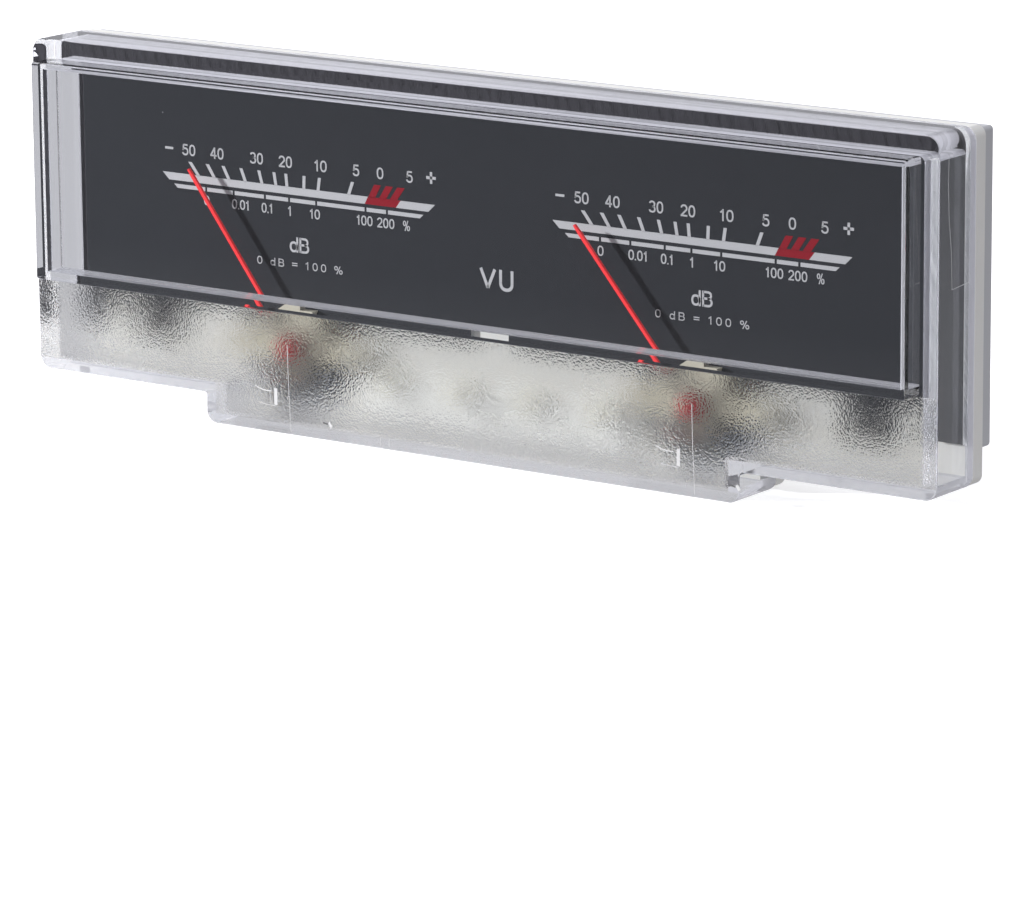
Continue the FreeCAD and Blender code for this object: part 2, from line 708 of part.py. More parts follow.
def make_rear_plate():
    """Stiffening plate behind the flange, with the wells and the solder pins coming through."""
    body = new_body("rear_plate")
    outline = new_sketch(body, station=flange_back)
    draw_rectangle(outline, -plate_half, plate_low, plate_half, plate_high)
    sheet = pad(body, outline, size.plate_thickness)
    corners = mirrored_corners(plate_half, (plate_low, plate_high))
    sheet = round_edges(body, sheet, straight_edges(sheet.Shape, corners), size.plate_radius)
    round_edges(body, sheet, edges_at_station(sheet.Shape, plate_back), size.face_round)
    holes = new_sketch(body, station=flange_back)
    for across in (LEFT, RIGHT):
        draw_circle(holes, across, pivot_z, size.well_radius + size.plate_fit)
        for offset in (-size.terminal_spacing / 2, size.terminal_spacing / 2):
            draw_circle(holes, across + offset, terminal_z, size.terminal_shank + size.terminal_gap)
    pocket(body, holes, size.plate_thickness)
    countersink_screws(body)


def countersink_screws(body):
    """Screw holes through the rear plate, countersunk for heads that lie flush with its back."""
    places = new_sketch(body, station=plate_back)
    for across, along in plate_screw_places():
        draw_circle(places, across, along, size.screw_radius + size.peg_fit)
    before = body.Shape.Volume
    holes = body.newObject("PartDesign::Hole", "ScrewHoles")
    holes.Profile = places
    doc.recompute()
    holes.Reversed = True
    holes.DepthType = "ThroughAll"
    holes.HoleCutType = "Countersink"
    holes.HoleCutCustomValues = True
    holes.HoleCutCountersinkAngle = 90
    bind(holes, Diameter=(size.screw_radius + size.peg_fit) * 2)
    bind(holes, HoleCutDiameter=(size.screw_head_radius + size.peg_fit) * 2)
    doc.recompute()
    if not body.Shape.Volume < before:
        sys.exit("rear_plate: the screw holes cut nothing")


def make_plate_screws():
    """Countersunk screws that hold the rear plate, flush with its back."""
    tip = flange_back - size.screw_bite
    head_depth = size.screw_head_radius - size.screw_radius
    profile = (
        (zero, tip),
        (size.screw_radius, tip),
        (size.screw_radius, plate_back - head_depth),
        (size.screw_head_radius, plate_back),
        (zero, plate_back),
    )
    turned_row("plate_screw", plate_screw_places(), profile)


def make_lamp_board():
    """Lamp board on two pegs below the dial."""
    body = new_body("lamp_board")
    outline = new_sketch(body, station=board_front)
    draw_rectangle(outline, -half_board, board_low, half_board, board_high)
    pad(body, outline, size.board_thickness)
    holes = new_sketch(body, station=board_front)
    for offset in (-board_peg, board_peg):
        draw_circle(holes, offset, lamp_pin_z, size.peg_radius + size.peg_fit)
    for offset in (-size.lamp_pin_pitch / 2, size.lamp_pin_pitch / 2):
        draw_circle(holes, offset, lamp_pin_z, size.lamp_pin_shank + size.seat_fit)
    pocket(body, holes, size.board_thickness)


def make_lamp_diodes():
    """Square diodes in a row along the board's upper edge, each with a round cup."""
    count = int(size.led_count.number)
    middle_z = board_high - size.led_margin - size.led_height / 2
    reach = half_board - size.led_inset
    for index in range(count):
        middle = reach * (index * 2 / (count - 1) - 1)
        block = doc.addObject("Part::Box", "diode_block")
        bind(block, Length=size.led_width, Width=size.led_depth, Height=size.led_height)
        bind(block, at_x=middle - size.led_width / 2, at_y=board_front - size.led_depth)
        bind(block, at_z=middle_z - size.led_height / 2)
        cup = doc.addObject("Part::Cone", "diode_cup")
        cup.Placement.Rotation = Rotation(Vector(1, 0, 0), -90)
        bind(cup, Radius1=size.led_lens_radius, Radius2=size.led_lens_floor, Height=size.led_lens_depth)
        bind(cup, at_x=middle, at_y=board_front - size.led_depth, at_z=middle_z)
        diode = doc.addObject("Part::Cut", "diode")
        diode.Base = block
        diode.Tool = cup
        keep(diode, f"lamp_diode_{index + 1}")


def make_lamp_pins():
    """Two solder pins from the lamp board through the flange."""
    tip = flange_back + size.lamp_pin_length
    stub = board_front - size.lamp_pin_stub
    profile = (
        (zero, stub),
        (size.lamp_pin_shank, stub),
        (size.lamp_pin_shank, flange_back),
        (size.lamp_pin_radius, flange_back),
        (size.lamp_pin_radius, tip),
        (zero, tip),
    )
    places = [(offset, lamp_pin_z) for offset in (-size.lamp_pin_pitch / 2, size.lamp_pin_pitch / 2)]
    turned_row("lamp_pin", places, profile)


# One movement -----------------------------------------------------------------------------


def make_terminals(side, across):
    """Two solder pins pressed through the flange, with shanks that end flush with the plate."""
    head = rim + size.peg_fit
    tip = plate_back + size.terminal_length
    profile = (
        (zero, head),
        (size.terminal_shank, head),
        (size.terminal_shank, plate_back),
        (size.terminal_radius, plate_back),
        (size.terminal_radius, tip),
        (zero, tip),
    )
    offsets = (-size.terminal_spacing / 2, size.terminal_spacing / 2)
    turned_row(side + "_terminal", [(across + offset, terminal_z) for offset in offsets], profile)


def make_movement_frame(side, across):
    """Frame at the well's floor: two posts grip the core and a rim carries the yoke ring."""
    body = new_body(side + "_movement_frame")
    disc = new_sketch(body, "XY_Plane")
    rim_inner = yoke_outer - size.frame_rim
    draw_polygon(
        disc,
        (
            (jewel_hole, disc_front),
            (rim_inner, disc_front),
            (rim_inner, core_back),
            (yoke_outer, core_back),
            (yoke_outer, floor),
            (jewel_hole, floor),
        ),
    )
    revolve(body, disc)
    for sign in (1, -1):
        post = new_sketch(body, "YZ_Plane")
        inner = (size.core_radius + size.seat_fit) * sign
        outer = (yoke_inner - size.seat_fit) * sign
        draw_rectangle(post, core_front, inner, floor, outer)
        revolve(body, post, size.post_angle, midplane=True)
    pin = new_sketch(body, station=rear_spring - size.spring_width / 2)
    draw_circle(pin, spring_pin, zero, size.spring_pin_radius)
    pad(body, pin, floor - rear_spring + size.spring_width / 2)
    seat(body, across)


def make_yoke_ring(side, across):
    """Soft iron ring that closes the magnet's field outside the coil."""
    ring = (
        (yoke_inner, core_front),
        (yoke_outer, core_front),
        (yoke_outer, core_back),
        (yoke_inner, core_back),
    )
    seat(turned(side + "_yoke_ring", ring), across)


def make_core_magnet(side, across):
    """Round magnet inside the coil, chamfered at both ends."""
    profile = (
        (zero, core_front),
        (size.core_radius - size.core_bevel, core_front),
        (size.core_radius, core_front + size.core_bevel),
        (size.core_radius, core_back - size.core_bevel),
        (size.core_radius - size.core_bevel, core_back),
        (zero, core_back),
    )
    seat(turned(side + "_core_magnet", profile), across)


def make_front_bridge(side, across):
    """Moulded bridge over the coil: a stepped crown, two footed arms and two stop pins."""
    body = new_body(side + "_front_bridge")
    arm = size.bridge_arm_height / 2
    wide = size.bridge_half_width
    outline = (
        (-size.bridge_reach, -arm),
        (-wide, -arm),
        (-size.bridge_skirt_width / 2, -size.bridge_skirt),
        (size.bridge_skirt_width / 2, -size.bridge_skirt),
        (wide, -arm),
        (size.bridge_reach, -arm),
        (size.bridge_reach, arm),
        (wide, arm),
        (wide, size.bridge_shoulder),
        (size.bridge_nose, size.bridge_nose_rise),
        (size.bridge_step_right, size.bridge_step),
        (size.bridge_crown_right, size.bridge_step),
        (size.bridge_crown_right, size.bridge_crown),
        (-size.bridge_crown_left, size.bridge_crown),
        (-size.bridge_slope, size.bridge_slope_rise),
        (-wide, size.bridge_shoulder),
        (-wide, arm),
        (-size.bridge_reach, arm),
    )
    sketch = new_sketch(body, station=bridge_front)
    draw_polygon(sketch, outline)
    plate = pad(body, sketch, size.bridge_thickness)
    ends = mirrored_corners(size.bridge_reach, (-arm, arm))
    round_edges(body, plate, straight_edges(plate.Shape, ends), size.bridge_foot_radius)
    feet = new_sketch(body, station=bridge_back)
    for offset in (-size.bridge_foot, size.bridge_foot):
        draw_circle(feet, offset, zero, size.bridge_foot_radius)
    pad(body, feet, rim - bridge_back)
    stops = new_sketch(body, station=arm_front - size.stop_overrun)
    for sign in (-1, 1):
        place = stop_place(sign)
        draw_circle(stops, place[0], place[1], size.stop_radius)
    pad(body, stops, bridge_front - arm_front + size.stop_overrun)
    holes = new_sketch(body, station=bridge_front)
    draw_circle(holes, zero, zero, size.bearing_radius + size.seat_fit)
    for offset in (-size.bridge_foot, size.bridge_foot):
        draw_circle(holes, offset, zero, size.peg_radius + size.peg_fit)
    pocket(body, holes, rim - bridge_front)
    seat(body, across)


def stop_place(sign):
    """Centre of a stop pin, beyond the pointer's last angle by the arm's half width."""
    reach = size.stop_reach
    gap = size.needle_root / 2 + size.stop_radius + size.stop_clearance
    angle = math.radians(size.stop_angle.number) + math.asin(gap.number / reach.number)
    return (reach * (sign * math.sin(angle)), reach * math.cos(angle))


def make_front_bearing(side, across):
    """Flanged bush that the staff turns in; the zero lever swings on its neck."""
    bore = size.staff_radius + size.running_fit
    flange_front = bridge_front - size.bearing_flange
    lip_front = neck_back - size.bearing_lip
    profile = (
        (bore, flange_front),
        (size.bearing_flange_radius, flange_front),
        (size.bearing_flange_radius, bridge_front),
        (size.bearing_radius, bridge_front),
        (size.bearing_radius, lip_front),
        (size.bearing_lip_radius, lip_front),
        (size.bearing_lip_radius, neck_back),
        (bore, neck_back),
    )
    seat(turned(side + "_front_bearing", profile), across)


def make_rear_jewel(side, across):
    """Jewel screw that pins the frame to the well's floor, cupped for the pivot, with a slot."""
    body = new_body(side + "_rear_jewel")
    sketch = new_sketch(body, "XY_Plane")
    profile = (
        (zero, disc_front + size.jewel_cup_depth),
        (size.jewel_cup_radius, disc_front),
        (size.jewel_screw_radius, disc_front),
        (size.jewel_screw_radius, back),
        (zero, back),
    )
    draw_polygon(sketch, profile)
    revolve(body, sketch)
    cut_slot(body, back, size.jewel_screw_radius)
    seat(body, across)


def make_zero_lever(side, across):
    """Forked lever that turns the front hairspring's outer end to set the pointer's zero."""
    body = new_body(side + "_zero_lever")
    ring = new_sketch(body, station=lever_front)
    draw_circle(ring, zero, zero, size.lever_ring_radius)
    pad(body, ring, size.lever_thickness)
    arm = new_sketch(body, station=lever_front)
    draw_polygon(
        arm,
        (
            (-size.lever_width / 2, -size.lever_length),
            (size.lever_width / 2, -size.lever_length),
            (size.lever_root_width / 2, -size.lever_root),
            (-size.lever_root_width / 2, -size.lever_root),
        ),
    )
    pad(body, arm, size.lever_thickness)
    pin = new_sketch(body, station=lever_back)
    draw_circle(pin, zero, -spring_pin, size.spring_pin_radius)
    pad(body, pin, front_spring + size.spring_width / 2 - lever_back)
    holes = new_sketch(body, station=lever_front)
    draw_circle(holes, zero, zero, size.bearing_radius + size.running_fit)
    fork = size.lever_fork / 2
    draw_rectangle(holes, -fork, -size.lever_length, fork, size.lever_fork_depth - size.lever_length)
    pocket(body, holes, size.lever_thickness)
    seat(body, across)


def spiral_side(offset):
    """Half circles from the collet out to the anchor pin, the strip's side at an offset."""
    halves = int(size.spring_turns.number) * 2
    growth = (size.spring_outer.number - size.spring_inner.number) / halves
    radius = size.spring_inner.number + offset
    centre = 0.0
    edges = []
    for index in range(halves):
        sign = 1 if index % 2 == 0 else -1
        start = Vector(centre + sign * radius, 0, 0)
        radius += growth
        centre -= sign * growth
        middle = Vector(centre, 0, sign * radius)
        end = Vector(centre - sign * radius, 0, 0)
        edges.append(Part.Arc(start, middle, end).toShape())
    return edges


def make_hairspring(name, across, station, turn):
    """Flat spiral strip, bound where it lies; its outer end meets the anchor pin."""
    inner = spiral_side(0.0)
    outer = spiral_side(size.spring_strip.number)
    ends = []
    for index, vertex in ((0, 0), (-1, -1)):
        start = inner[index].Vertexes[vertex].Point
        end = outer[index].Vertexes[vertex].Point
        ends.append(Part.LineSegment(start, end).toShape())
    wire = Part.Wire(Part.__sortEdges__(inner + outer + ends))
    strip = doc.addObject("Part::Feature", name + "_strip")
    strip.Shape = Part.Face(wire).extrude(Vector(0, size.spring_width.number, 0))
    strip.Placement = Placement(Vector(0, 0, 0), Rotation(Vector(0, 1, 0), turn))
    bind(strip, at_x=across, at_y=station - size.spring_width / 2, at_z=pivot_z)
    keep(strip, name)


def make_pointer(side, across, rest):
    """Stamped pointer: an eye round the staff, the needle, and three balance arms."""
    body = new_body(side + "_pointer")
    eye = new_sketch(body, station=arm_front)
    draw_circle(eye, zero, zero, size.eye_radius)
    pad(body, eye, size.arm_thickness)
    blank = new_sketch(body, station=arm_front)
    root, needle, tip = size.needle_root / 2, size.needle_width / 2, size.needle_tip / 2
    arm, wing = size.balance_arm_width / 2, size.side_arm_length
    outline = (
        (-arm, -size.tail_length),
        (arm, -size.tail_length),
        (arm, -arm),
        (wing, -arm),
        (wing, arm),
        (root, arm),
        (needle, size.needle_neck),
        (needle, size.needle_length - size.needle_point),
        (tip, size.needle_length),
        (-tip, size.needle_length),
        (-needle, size.needle_length - size.needle_point),
        (-needle, size.needle_neck),
        (-root, arm),
        (-wing, arm),
        (-wing, -arm),
        (-arm, -arm),
    )
    draw_polygon(blank, outline)
    pad(body, blank, size.arm_thickness)
    hole = new_sketch(body, station=arm_front)
    draw_circle(hole, zero, zero, size.staff_radius + size.seat_fit)
    pocket(body, hole, size.arm_thickness)
    seat(body, across, rest)


def make_pointer_hub(side, across, rest):
    """Round cap that holds the pointer's eye on the end of the staff."""
    bore = size.staff_radius + size.seat_fit
    profile = (
        (zero, hub_front),
        (size.hub_radius - size.hub_bevel, hub_front),
        (size.hub_radius, hub_front + size.hub_bevel),
        (size.hub_radius, arm_front),
        (bore, arm_front),
        (bore, hub_front + size.hub_cap),
        (zero, hub_front + size.hub_cap),
    )
    seat(turned(side + "_pointer_hub", profile), across, rest)


def make_balance_weights(side, across, rest):
    """Crimped beads on the balance arms, slid along them until the pointer stays level."""
    middle = (arm_front + arm_back) / 2
    width = size.balance_arm_width + size.seat_fit * 2
    thick = size.arm_thickness + size.seat_fit * 2
    arms = ((0, size.tail_length), (90, size.side_arm_length), (-90, size.side_arm_length))
    for number, (turn, reach) in enumerate(arms, start=1):
        bead = doc.addObject("Part::Cylinder", "bead")
        bind(bead, Radius=size.weight_radius, Height=size.weight_length, at_y=middle, at_z=-reach)
        slot = doc.addObject("Part::Box", "bead_slot")
        bind(slot, Length=width, Width=thick, Height=size.weight_length)
        bind(slot, at_x=-width / 2, at_y=middle - thick / 2, at_z=-reach)
        weight = doc.addObject("Part::Cut", "weight")
        weight.Base = bead
        weight.Tool = slot
        weight.Placement.Rotation = Rotation(Vector(0, 1, 0), rest + turn)
        bind(weight, at_x=across, at_z=pivot_z)
        keep(weight, f"{side}_balance_weight_{number}")


def make_staffs(side, across, rest):
    """Front staff with its hairspring collet, and the short rear staff with a pivot tip."""
    foot_front = coil_front - size.staff_foot
    collet_front = front_spring - size.spring_width / 2
    collet_back = front_spring + size.spring_width / 2
    profile = (
        (zero, hub_front + size.hub_cap),
        (size.staff_radius, hub_front + size.hub_cap),
        (size.staff_radius, collet_front),
        (size.collet_radius, collet_front),
        (size.collet_radius, collet_back),
        (size.staff_radius, collet_back),
        (size.staff_radius, foot_front),
        (size.staff_foot_radius, foot_front),
        (size.staff_foot_radius, coil_front),
        (zero, coil_front),
    )
    seat(turned(side + "_front_staff", profile), across, rest)
    foot_back = coil_back + size.staff_foot
    collet_end = rear_spring + size.spring_width / 2
    rear = (
        (zero, coil_back),
        (size.staff_foot_radius, coil_back),
        (size.staff_foot_radius, foot_back),
        (size.collet_radius, foot_back),
        (size.collet_radius, collet_end),
        (size.staff_radius, collet_end),
        (size.staff_radius, disc_front - size.jewel_clearance),
        (zero, disc_front + size.jewel_cup_depth - size.jewel_clearance),
    )
    seat(turned(side + "_rear_staff", rear), across, rest)


def coil_loop(name, inner_half, inner_front, inner_back, side_wall, end_wall, width):
    """Rectangular loop around the core with rounded outer corners."""
    body = new_body(name)
    sketch = new_sketch(body, "XY_Plane")
    outer_half = inner_half + side_wall
    outer_front = inner_front - end_wall
    outer_back = inner_back + end_wall
    draw_rectangle(sketch, -outer_half, outer_front, outer_half, outer_back)
    draw_rectangle(sketch, -inner_half, inner_front, inner_half, inner_back)
    loop = body.newObject("PartDesign::Pad", "Loop")
    loop.Profile = sketch
    loop.Midplane = True
    bind(loop, Length=width)
    doc.recompute()
    corners = mirrored_corners(outer_half, (outer_front, outer_back))
    round_edges(body, loop, straight_edges(loop.Shape, corners, "x", "y"), end_wall)
    return body


def make_coil(side, across, rest):
    """Aluminium former and copper winding, two loops one inside the other."""
    former = coil_loop(
        side + "_coil_former",
        former_inner,
        former_front + size.former_wall,
        former_back - size.former_wall,
        size.former_wall,
        size.former_wall,
        size.former_width,
    )
    seat(former, across, rest)
    winding = coil_loop(
        side + "_coil_winding",
        winding_inner + size.seat_fit,
        former_front - size.seat_fit,
        former_back + size.seat_fit,
        size.winding_depth - size.seat_fit,
        size.winding_thickness - size.seat_fit,
        size.winding_width,
    )
    seat(winding, across, rest)


def make_movement(side, across, rest):
    """Everything that belongs to one pointer."""
    make_terminals(side, across)
    make_movement_frame(side, across)
    make_yoke_ring(side, across)
    make_core_magnet(side, across)
    make_front_bridge(side, across)
    make_front_bearing(side, across)
    make_rear_jewel(side, across)
    make_zero_lever(side, across)
    make_hairspring(side + "_front_hairspring", across, front_spring, 90)
    make_hairspring(side + "_rear_hairspring", across, rear_spring, 0)
    make_pointer(side, across, rest)
    make_pointer_hub(side, across, rest)
    make_balance_weights(side, across, rest)
    make_staffs(side, across, rest)
    make_coil(side, across, rest)


# Checks and export ------------------------------------------------------------------------


def check_and_export():
    """Stops on any failed object or bad solid, then writes each sub-part to its own file."""
    doc.recompute()
    for item in doc.Objects:
        if "Invalid" in item.State or "Error" in item.State:
            sys.exit(f"{item.Label}: {item.State}")
    for feature in parts:
        shape = feature.Shape
        if shape.isNull() or not shape.isValid() or shape.Volume <= 0:
            sys.exit(f"{feature.Label}: bad solid")
    os.makedirs("parts", exist_ok=True)
    for feature in parts:
        feature.Shape.exportStep(f"parts/{feature.Label}.step")
        solids = len(feature.Shape.Solids)
        print(f"{feature.Label}: {solids} solid(s), {feature.Shape.Volume:.3f} mm3")


make_front_cover()
make_dial_plate()
make_base_housing()
make_rear_plate()
make_plate_screws()
make_lamp_board()
make_lamp_diodes()
make_lamp_pins()
for side_name, side_place, rest_angle in SIDES:
    make_movement(side_name, side_place, rest_angle)
check_and_export()
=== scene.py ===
"""Looks of a clear-fronted twin level meter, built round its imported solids.

Each solid gets its finish. Printed scales and the cover's moulding marks are added, and a plain pale studio.
Lengths are metres in the frame of the solids: X to the right, Y towards the rear, Z up.
"""

import logging
import math
from dataclasses import dataclass, field
from enum import Enum
from functools import cache

import bmesh
import bpy
import numpy as np
from mathutils import Matrix, Vector


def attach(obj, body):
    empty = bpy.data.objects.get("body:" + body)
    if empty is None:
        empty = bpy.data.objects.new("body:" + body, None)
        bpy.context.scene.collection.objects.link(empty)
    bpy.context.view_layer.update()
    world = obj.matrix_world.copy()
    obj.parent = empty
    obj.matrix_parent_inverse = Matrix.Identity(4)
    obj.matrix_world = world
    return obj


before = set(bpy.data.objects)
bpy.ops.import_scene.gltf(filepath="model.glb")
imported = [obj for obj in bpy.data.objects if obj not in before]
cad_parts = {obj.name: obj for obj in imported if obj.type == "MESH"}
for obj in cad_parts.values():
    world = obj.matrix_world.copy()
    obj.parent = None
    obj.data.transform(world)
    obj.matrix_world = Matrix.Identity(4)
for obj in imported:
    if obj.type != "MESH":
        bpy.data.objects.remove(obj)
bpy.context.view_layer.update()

log = logging.getLogger("twin_meter")

MM = 0.001
HOUSING = "housing"
NOISE_SPAN = (0.3, 0.7)  # holds nearly all values of a soft noise
BLACK, WHITE = (0.0, 0.0, 0.0), (1.0, 1.0, 1.0)

Triple = tuple[float, float, float]
Colour = Triple
Point = tuple[float, float]
Row = tuple[float, ...]
Array = np.ndarray
Socket = bpy.types.NodeSocket
Sockets = dict[str, Socket]
Given = bpy.types.bpy_prop_collection
Feed = Socket | float | tuple
Feeds = dict[str | int, Feed]


class Side(Enum):
    """The two movements, each with the X of its pointer's axis in millimetres."""

    LEFT = -30.1
    RIGHT = 30.1

    @property
    def prefix(self) -> str:
        """Start of the names of this side's pieces."""
        return self.name.lower() + "_"


class Axis(Enum):
    """Direction in which a pattern is drawn out, with its shrinkage along each axis."""

    X = (0.03, 1.0, 1.0)
    Y = (1.0, 0.03, 1.0)
    Z = (1.0, 1.0, 0.03)


# ---- node trees


class Tree:
    """Adds nodes to one node tree. Most calls hand back the socket that their node puts out."""

    def __init__(self, tree: bpy.types.NodeTree) -> None:
        """Take over an empty node tree."""
        self.tree = tree

    def node(self, kind: str, feeds: Feeds | None = None, **options: object) -> bpy.types.Node:
        """Add a node.

        Args:
            kind: Blender's name of the node.
            feeds: what goes into its inputs, by their names or places.
            options: properties of the node and their values.

        Returns:
            The new node.
        """
        made = self.tree.nodes.new(kind)
        for name, value in options.items():
            setattr(made, name, value)
        for name, value in (feeds or {}).items():
            self.feed(made.inputs[name], value)
        return made

    def feed(self, socket: Socket, value: Feed) -> None:
        """Link a socket into an input, or set the input's own value."""
        if isinstance(value, bpy.types.NodeSocket):
            self.tree.links.new(value, socket)
        else:
            socket.default_value = value

    def math(self, operation: str, *values: Feed) -> Socket:
        """Value of one sum of one or two values."""
        return self.node("ShaderNodeMath", dict(enumerate(values)), operation=operation).outputs[0]

    def times(self, first: Feed, *others: Feed) -> Socket:
        """Product of several values."""
        for other in others:
            first = self.math("MULTIPLY", first, other)
        return first

    def over(self, value: Feed, limit: float) -> Socket:
        """1 above a limit, and 0 elsewhere."""
        return self.math("GREATER_THAN", value, limit)

    def under(self, value: Feed, limit: Feed) -> Socket:
        """1 below a limit, and 0 elsewhere."""
        return self.math("LESS_THAN", value, limit)

    def between(self, value: Feed, low: float, high: float) -> Socket:
        """1 between two limits, and 0 elsewhere."""
        return self.times(self.over(value, low), self.under(value, high))

    def vector(self, operation: str, *values: Feed) -> Socket:
        """Vector of one sum of vectors, or its number for a length or a dot product."""
        made = self.node("ShaderNodeVectorMath", dict(enumerate(values)), operation=operation)
        return made.outputs["Value" if operation in ("LENGTH", "DOT_PRODUCT") else "Vector"]

    def scaled(self, vector: Feed, factor: Feed) -> Socket:
        """A vector or colour times a factor."""
        return self.node("ShaderNodeVectorMath", {0: vector, "Scale": factor}, operation="SCALE").outputs[0]

    def place(self) -> Socket:
        """Point of the surface in the frame of the solids."""
        return self.node("ShaderNodeTexCoord").outputs["Object"]

    def part(self, vector: Feed, axis: str) -> Socket:
        """One coordinate of a vector."""
        return self.node("ShaderNodeSeparateXYZ", {0: vector}).outputs[axis]

    def facing(self, axis: str) -> Socket:
        """How far the surface faces along an axis, from -1 to 1."""
        return self.part(self.node("ShaderNodeNewGeometry").outputs["True Normal"], axis)

    def noise(self, vector: Feed, scale: Feed, detail: float = 2.0, rough: float = 0.5) -> Socket:
        """Soft noise from 0 to 1."""
        feeds = {"Vector": vector, "Scale": scale, "Detail": detail, "Roughness": rough}
        return self.node("ShaderNodeTexNoise", feeds).outputs["Fac"]

    def cells(self, vector: Feed, scale: Feed, output: str = "Distance") -> Socket:
        """Pattern of cells: the distance to the nearest cell's middle, or that cell's colour."""
        return self.node("ShaderNodeTexVoronoi", {"Vector": vector, "Scale": scale}).outputs[output]

    def spread(self, value: Feed, low: Feed, high: Feed, start: Feed = 0.0, end: Feed = 1.0) -> Socket:
        """Carry values between low and high over to start and end, held at both ends."""
        feeds = {"Value": value, "From Min": low, "From Max": high, "To Min": start, "To Max": end}
        return self.node("ShaderNodeMapRange", feeds, clamp=True).outputs["Result"]

    def mix(self, share: Feed, first: Feed, second: Feed) -> Socket:
        """Mix two colours."""
        feeds = {"Factor": share, 6: opaque(first), 7: opaque(second)}
        return self.node("ShaderNodeMix", feeds, data_type="RGBA", clamp_factor=True).outputs[2]

    def blend(self, share: Feed, first: Socket, second: Socket) -> Socket:
        """Mix two shaders."""
        return self.node("ShaderNodeMixShader", {0: share, 1: first, 2: second}).outputs[0]

    def bump(self, height: Feed, depth: Feed) -> Socket:
        """Normal that follows a height from 0 to 1, which stands for a depth in metres."""
        feeds = {"Height": height, "Distance": depth, "Strength": 1.0}
        return self.node("ShaderNodeBump", feeds).outputs["Normal"]

    def group(self, effect: "Effect", **feeds: Feed) -> Sockets:
        """Place a shared effect with its own feeds, and hand back its outputs by name."""
        made = self.node("ShaderNodeGroup", feeds, node_tree=effect.tree())
        return {output.name: output for output in made.outputs}

    def streaks(self, point: Socket, along: Axis, scale: float) -> Sockets:
        """The shared streaks, drawn out along an axis."""
        return self.group(STREAKS, Vector=point, Stretch=along.value, Scale=scale)


def opaque(colour: Feed) -> Feed:
    """A colour of three shares with full alpha, or the value as it is."""
    return (*colour, 1.0) if isinstance(colour, tuple) and len(colour) == 3 else colour


def shaded(colour: Colour, factor: float) -> Colour:
    """A colour made lighter or darker, with no share above 1."""
    return tuple(min(1.0, factor * share) for share in colour)


# ---- shared effects


class Effect:
    """A shader node group that several finishes share. It is built on first use."""

    title = ""
    inputs: dict[str, str] = {}
    outputs: dict[str, str] = {}

    @cache
    def tree(self) -> bpy.types.NodeTree:
        """The node group, made once."""
        made = bpy.data.node_groups.new(self.title, "ShaderNodeTree")
        for direction, sockets in (("INPUT", self.inputs), ("OUTPUT", self.outputs)):
            for name, kind in sockets.items():
                made.interface.new_socket(name=name, in_out=direction, socket_type="NodeSocket" + kind)
        tree = Tree(made)
        given = tree.node("NodeGroupInput").outputs
        tree.node("NodeGroupOutput", self.fill(tree, given))
        return made

    def fill(self, tree: Tree, given: Given) -> Sockets:
        """Build the effect between its inputs and outputs.

        Args:
            tree: the group's nodes.
            given: sockets of its inputs, by name.

        Returns:
            What feeds its outputs, by name.
        """
        raise NotImplementedError


class Grain(Effect):
    """Fine moulded or painted grain: a small noise on a broad one."""

    title = "grain"
    inputs = {"Vector": "Vector", "Scale": "Float", "Colour": "Color", "Variation": "Float"}
    outputs = {"Height": "Float", "Colour": "Color", "Shade": "Float"}
    broad_scale = 0.06
    fine_share = 0.35

    def fill(self, tree: Tree, given: Given) -> Sockets:
        """Height from fine noise, colour made lighter and darker by a broad one."""
        fine = tree.noise(given["Vector"], given["Scale"], detail=3.0, rough=0.6)
        broad = tree.noise(given["Vector"], tree.times(given["Scale"], self.broad_scale))
        level = tree.math("ADD", tree.times(fine, self.fine_share), tree.times(broad, 1 - self.fine_share))
        swing = tree.times(tree.math("SUBTRACT", level, 0.5), given["Variation"])
        colour = tree.scaled(given["Colour"], tree.math("ADD", 1.0, swing))
        return {"Height": fine, "Colour": colour, "Shade": level}


class Streaks(Effect):
    """Brushing, rolling or drawing marks: noise stretched along one direction."""

    title = "streaks"
    inputs = {"Vector": "Vector", "Stretch": "Vector", "Scale": "Float"}
    outputs = {"Height": "Float", "Shade": "Float"}
    broad_scale = 0.2

    def fill(self, tree: Tree, given: Given) -> Sockets:
        """Noise of the stretched point, fine for the height and broader for the shade."""
        drawn = tree.vector("MULTIPLY", given["Vector"], given["Stretch"])
        fine = tree.noise(drawn, given["Scale"], detail=4.0, rough=0.7)
        broad = tree.noise(drawn, tree.times(given["Scale"], self.broad_scale))
        return {"Height": fine, "Shade": broad}


class Dust(Effect):
    """Specks of dust: small round or long spots, few and far apart, each of its own size."""

    title = "dust"
    inputs = {"Vector": "Vector", "Scale": "Float", "Size": "Float", "Amount": "Float"}
    outputs = {"Mask": "Float"}
    bend_scale = 4.0
    bend = 0.25
    core = 0.4

    def fill(self, tree: Tree, given: Given) -> Sockets:
        """Middles of cells within a small distance, kept where the cell's own number is low."""
        feeds = {"Vector": given["Vector"], "Scale": tree.times(given["Scale"], self.bend_scale)}
        bent = tree.node("ShaderNodeTexNoise", feeds).outputs["Color"]
        pushed = tree.scaled(bent, tree.math("DIVIDE", self.bend, given["Scale"]))
        point = tree.vector("ADD", given["Vector"], pushed)
        distance = tree.cells(point, given["Scale"])
        lot = tree.part(tree.cells(point, given["Scale"], "Color"), "X")
        reach = tree.times(given["Size"], tree.math("DIVIDE", lot, given["Amount"]))
        near = tree.spread(distance, tree.times(reach, self.core), reach, 1.0, 0.0)
        return {"Mask": tree.times(near, tree.under(lot, given["Amount"]))}


